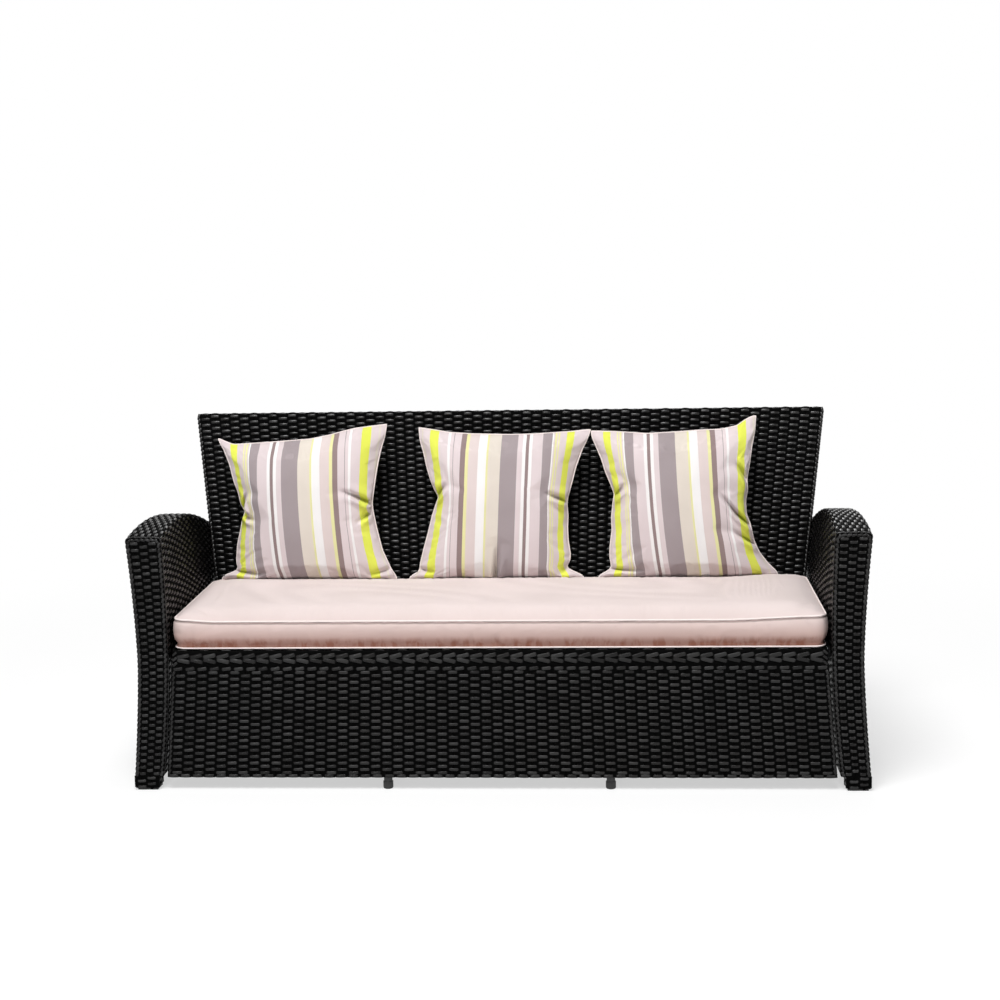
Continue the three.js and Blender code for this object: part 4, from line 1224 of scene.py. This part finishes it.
def rest_on_neighbours(piece, cloth, back):
    """Lifts a pillow's points off the cushion and off the back's weave."""
    places = points_of(piece.data)
    floor = cushion_top(cloth, places[:, 0], places[:, 1]) + CUSHION_CLEAR
    places[:, 2] = np.maximum(places[:, 2], floor)
    face = FRONT + back.face_from_front + math.tan(back.rake) * (
        places[:, 2] - DECK_HIGH.z) - BACK_CLEAR
    places[:, 1] = np.minimum(places[:, 1], face)
    set_points(piece.data, places)


FILLED_CLOTH = {
    "quality": 4, "mass": 0.25, "tension_stiffness": 18, "compression_stiffness": 18,
    "shear_stiffness": 6, "bending_stiffness": 0.4, "use_pressure": True,
}


def swell(piece, cloth, held, shrink, cap):
    """Fills the cloth with pressure, holding the given points, and caps each point's move.
    Where shrink is below 0, the cloth grows by that share."""
    rest = points_of(piece.data)
    group = piece.vertex_groups.new(name="Sewn")
    group.add([int(k) for k in held], 1.0, "REPLACE")
    modifier = piece.modifiers.new("Filling", "CLOTH")
    settings = modifier.settings
    for key, value in FILLED_CLOTH.items():
        setattr(settings, key, value)
    settings.uniform_pressure_force = cloth.pressure
    settings.shrink_min = shrink
    settings.vertex_group_mass = group.name
    settings.effector_weights.gravity = 0
    modifier.collision_settings.use_collision = False
    modifier.point_cache.frame_end = cloth.frames
    scene = bpy.context.scene
    for step in range(1, cloth.frames + 1):
        scene.frame_set(step)
    moved = points_of(piece.evaluated_get(bpy.context.evaluated_depsgraph_get()).data)
    piece.modifiers.remove(modifier)
    piece.vertex_groups.clear()
    scene.frame_set(1)
    move = moved - rest
    far = np.linalg.norm(move, axis=1, keepdims=True)
    move *= np.minimum(1, cap / np.maximum(far, 1e-9))
    set_points(piece.data, rest + move)


def cord_along(name, ring, radius, sides=8):
    """A closed round cord through a ring of points."""
    forward = unit(ring_steps(ring))
    inward = ring.mean(0) - ring
    side = unit(inward - (inward * forward).sum(1, keepdims=True) * forward)
    third = np.cross(forward, side)
    turns = [2 * math.pi * k / sides for k in range(sides)]
    made = np.stack([ring + radius * (math.cos(a) * side + math.sin(a) * third) for a in turns],
                    axis=1).reshape(-1, 3)
    faces = []
    for i in range(len(ring)):
        here, after = i * sides, (i + 1) % len(ring) * sides
        for k in range(sides):
            m = (k + 1) % sides
            faces.append((here + k, after + k, after + m, here + m))
    return mesh_from(name, made, faces)


# Operators

class SOFA_OT_arm_weave(bpy.types.Operator):
    """Weave the wraps and the end faces of both arms"""
    bl_idname = "sofa.arm_weave"
    bl_label = "Weave Arms"

    def execute(self, context):
        arms, weave = context.scene.sofa_arms, context.scene.sofa_weave
        pieces = {**arm_wrap(arms, weave), "end_weave": arm_ends(arms, weave)}
        for name, crossings in pieces.items():
            crossings.weave(f"arm_left_{name}")
            crossings.mirrored().weave(f"arm_right_{name}")
        return {"FINISHED"}


class SOFA_OT_foot_weave(bpy.types.Operator):
    """Weave the wrapped feet under the arms"""
    bl_idname = "sofa.foot_weave"
    bl_label = "Weave Feet"

    def execute(self, context):
        for side in ("left", "right"):
            for row in ("front", "rear"):
                foot = f"arm_{side}_{row}_foot_"
                foot_faces(context.scene.sofa_weave, foot + "wrap").weave(foot + "weave")
        return {"FINISHED"}


class SOFA_OT_back_weave(bpy.types.Operator):
    """Weave the back panel's face, top, rear and edges"""
    bl_idname = "sofa.back_weave"
    bl_label = "Weave Back"

    def execute(self, context):
        back, weave = context.scene.sofa_back, context.scene.sofa_weave
        for name, crossings in back_panels(back, weave).items():
            crossings.weave(name)
        back_edges(back, weave).weave("back_edge_weave")
        return {"FINISHED"}


class SOFA_OT_seat_weave(bpy.types.Operator):
    """Weave the seat deck, the band along its front and the apron"""
    bl_idname = "sofa.seat_weave"
    bl_label = "Weave Seat and Apron"

    def execute(self, context):
        weave = context.scene.sofa_weave
        for name, crossings in seat_panels(weave).items():
            crossings.weave(name)
        apron_panel(weave).weave("apron_weave")
        return {"FINISHED"}


class SOFA_OT_frame_finish(bpy.types.Operator):
    """Finish the frame's tubes, skins, bolts, caps and glides"""
    bl_idname = "sofa.frame_finish"
    bl_label = "Finish Frame"

    def execute(self, context):
        finish = materials()
        by_slot = {"woven_wicker": "Weave gap", "frame_steel": "Powder-coated steel",
                   "zinc_bolt": "Zinc plate", "foot_plastic": "Moulded plastic"}
        slots = {part["node"]: part["material_slot"] for part in frame["record"]["subparts"]}
        for name, node in frame["nodes"].items():
            if slots[name] in by_slot:
                node.data.materials.clear()
                node.data.materials.append(finish[by_slot[slots[name]]])
        return {"FINISHED"}


class SOFA_OT_bench_cushion(bpy.types.Operator):
    """Sew and fill the bench cushion with its piping"""
    bl_idname = "sofa.bench_cushion"
    bl_label = "Bench Cushion"

    def execute(self, context):
        cloth = context.scene.sofa_cloth
        mesh, lower, upper = bench_mesh(cloth)
        piece = new_piece("seat_cushion_cloth", "seat_cushion", mesh,
                          materials()["Cushion cloth"])
        swell(piece, cloth, lower + upper, shrink=-0.01, cap=cloth.cap / 2)
        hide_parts("seat_cushion")
        for name, ring in (("lower", lower), ("upper", upper)):
            name = "seat_cushion_piping_" + name
            new_piece(name, "seat_cushion",
                      cord_along(name, points_of(piece.data)[ring], cloth.piping_radius),
                      materials()["Piping cloth"])
        return {"FINISHED"}


class SOFA_OT_scatter_pillows(bpy.types.Operator):
    """Sew and fill the three striped pillows"""
    bl_idname = "sofa.scatter_pillows"
    bl_label = "Scatter Pillows"

    def execute(self, context):
        cloth = context.scene.sofa_cloth
        for name, form in PILLOWS.items():
            mesh, rim = pillow_mesh(cloth, name, form)
            piece = new_piece(name + "_cloth", name, mesh,
                              materials()["Striped cloth"])
            swell(piece, cloth, rim, shrink=-0.015, cap=cloth.cap)
            rest_on_neighbours(piece, cloth, context.scene.sofa_back)
            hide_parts(name)
            seam = cord_along(name + "_seam", points_of(piece.data)[rim], cloth.seam_radius, 6)
            new_piece(name + "_seam", name, seam, materials()["Piping cloth"])
        return {"FINISHED"}


class SOFA_OT_stage(bpy.types.Operator):
    """Set the floor, the lamps and the camera"""
    bl_idname = "sofa.stage"
    bl_label = "Stage"

    def execute(self, context):
        scene, stage = context.scene, context.scene.sofa_stage
        size = stage.floor_size / 2
        floor = new_object("floor", mesh_from(
            "floor", [(-size, -size, 0), (size, -size, 0), (size, size, 0), (-size, size, 0)],
            [(0, 1, 2, 3)], smooth=False))
        floor.data.materials.append(floor_material(scene.sofa_colours))
        # place, width and power
        lamps = {
            "key": ((-0.75, -2.9, 6.4), 3.4, stage.key_power),
            "front": ((-1.5, -4.3, 1.15), 0.5, stage.front_power),
            "fill": ((3.1, -2.6, 2.0), 0.7, stage.fill_power),
            "rear": ((0.4, 4.6, 3.4), 2.4, stage.rear_power),
        }
        for name, (place, width, power) in lamps.items():
            data = bpy.data.lights.new(name, "AREA")
            data.shape, data.size, data.energy = "DISK", width, power
            lamp = new_object(name, data)
            lamp.location = place
            lamp.rotation_euler = (LAMP_TARGET - lamp.location).to_track_quat("-Z", "Y").to_euler()
        set_world(scene, stage)
        scene.camera = photo_camera(stage)
        scene.view_settings.view_transform = "Standard"
        return {"FINISHED"}


def background_ray(nodes):
    """1 on rays from the camera, in mirrors and through glass, where the background shows."""
    path = nodes.add("ShaderNodeLightPath")
    seen = path.math("MAXIMUM", path.also("Is Glossy Ray"))
    return seen.math("MAXIMUM", path.also("Is Transmission Ray"))


def floor_material(colours):
    material = bpy.data.materials.new("Pale floor")
    nodes = emptied(material)
    matt = nodes.add("ShaderNodeBsdfDiffuse", {"Color": colours.floor})
    glow = nodes.add("ShaderNodeEmission", {"Color": WHITE, "Strength": 1.0})
    away = nodes.size(nodes.place())
    shown = nodes.add("ShaderNodeMixShader", {
        0: background_ray(nodes) * (0.55 + away.within(1.3, 3.0) * 0.45), 1: matt, 2: glow})
    nodes.add("ShaderNodeOutputMaterial", {"Surface": shown})
    return material


def set_world(scene, stage):
    world = scene.world = bpy.data.worlds.new("Studio")
    nodes = emptied(world)
    soft, shown = (nodes.add("ShaderNodeBackground", {"Color": WHITE, "Strength": strength})
                   for strength in (stage.world_strength, 1.0))
    mixed = nodes.add("ShaderNodeMixShader", {0: background_ray(nodes), 1: soft, 2: shown})
    nodes.add("ShaderNodeOutputWorld", {"Surface": mixed})


def photo_camera(stage):
    """A camera at the photograph's viewing angle."""
    yaw, pitch, roll = CAMERA_TURN
    forward = Vector((math.sin(yaw) * math.cos(pitch), math.cos(yaw) * math.cos(pitch),
                      -math.sin(pitch)))
    level = Vector((math.cos(yaw), -math.sin(yaw), 0))
    upright = level.cross(forward)
    right = math.cos(roll) * level + math.sin(roll) * upright
    up = math.cos(roll) * upright - math.sin(roll) * level
    data = bpy.data.cameras.new("camera")
    data.lens, data.sensor_width = stage.focal_length, 36.0
    camera = new_object("camera", data)
    camera.matrix_world = Matrix.Translation(CAMERA_PLACE) @ Matrix(
        (right, up, -forward)).transposed().to_4x4()
    return camera


OPERATORS = [
    SOFA_OT_frame_finish, SOFA_OT_arm_weave, SOFA_OT_foot_weave, SOFA_OT_back_weave,
    SOFA_OT_seat_weave, SOFA_OT_bench_cushion, SOFA_OT_scatter_pillows, SOFA_OT_stage,
]


class SOFA_PT_panel(bpy.types.Panel):
    """Lists the sofa's pieces and their sizes"""
    bl_idname = "SOFA_PT_panel"
    bl_label = "Rattan Garden Sofa"
    bl_space_type = "VIEW_3D"
    bl_region_type = "UI"
    bl_category = "Sofa"

    def draw(self, context):
        for operator in OPERATORS:
            self.layout.operator(operator.bl_idname)
        for name, group in GROUPS.items():
            box = self.layout.box()
            box.label(text=name.replace("_", " ").capitalize())
            for key in group.__annotations__:
                box.prop(getattr(context.scene, name), key,
                         text=key.replace("_", " ").capitalize())


def register():
    for name, group in GROUPS.items():
        bpy.utils.register_class(group)
        setattr(bpy.types.Scene, name, bpy.props.PointerProperty(type=group))
    for cls in [*OPERATORS, SOFA_PT_panel]:
        bpy.utils.register_class(cls)


def unregister():
    for cls in [SOFA_PT_panel, *reversed(OPERATORS)]:
        bpy.utils.unregister_class(cls)
    for name, group in GROUPS.items():
        delattr(bpy.types.Scene, name)
        bpy.utils.unregister_class(group)


def main():
    register()
    for operator in OPERATORS:
        group, name = operator.bl_idname.split(".")
        getattr(getattr(bpy.ops, group), name)()


if __name__ == "__main__":
    main()
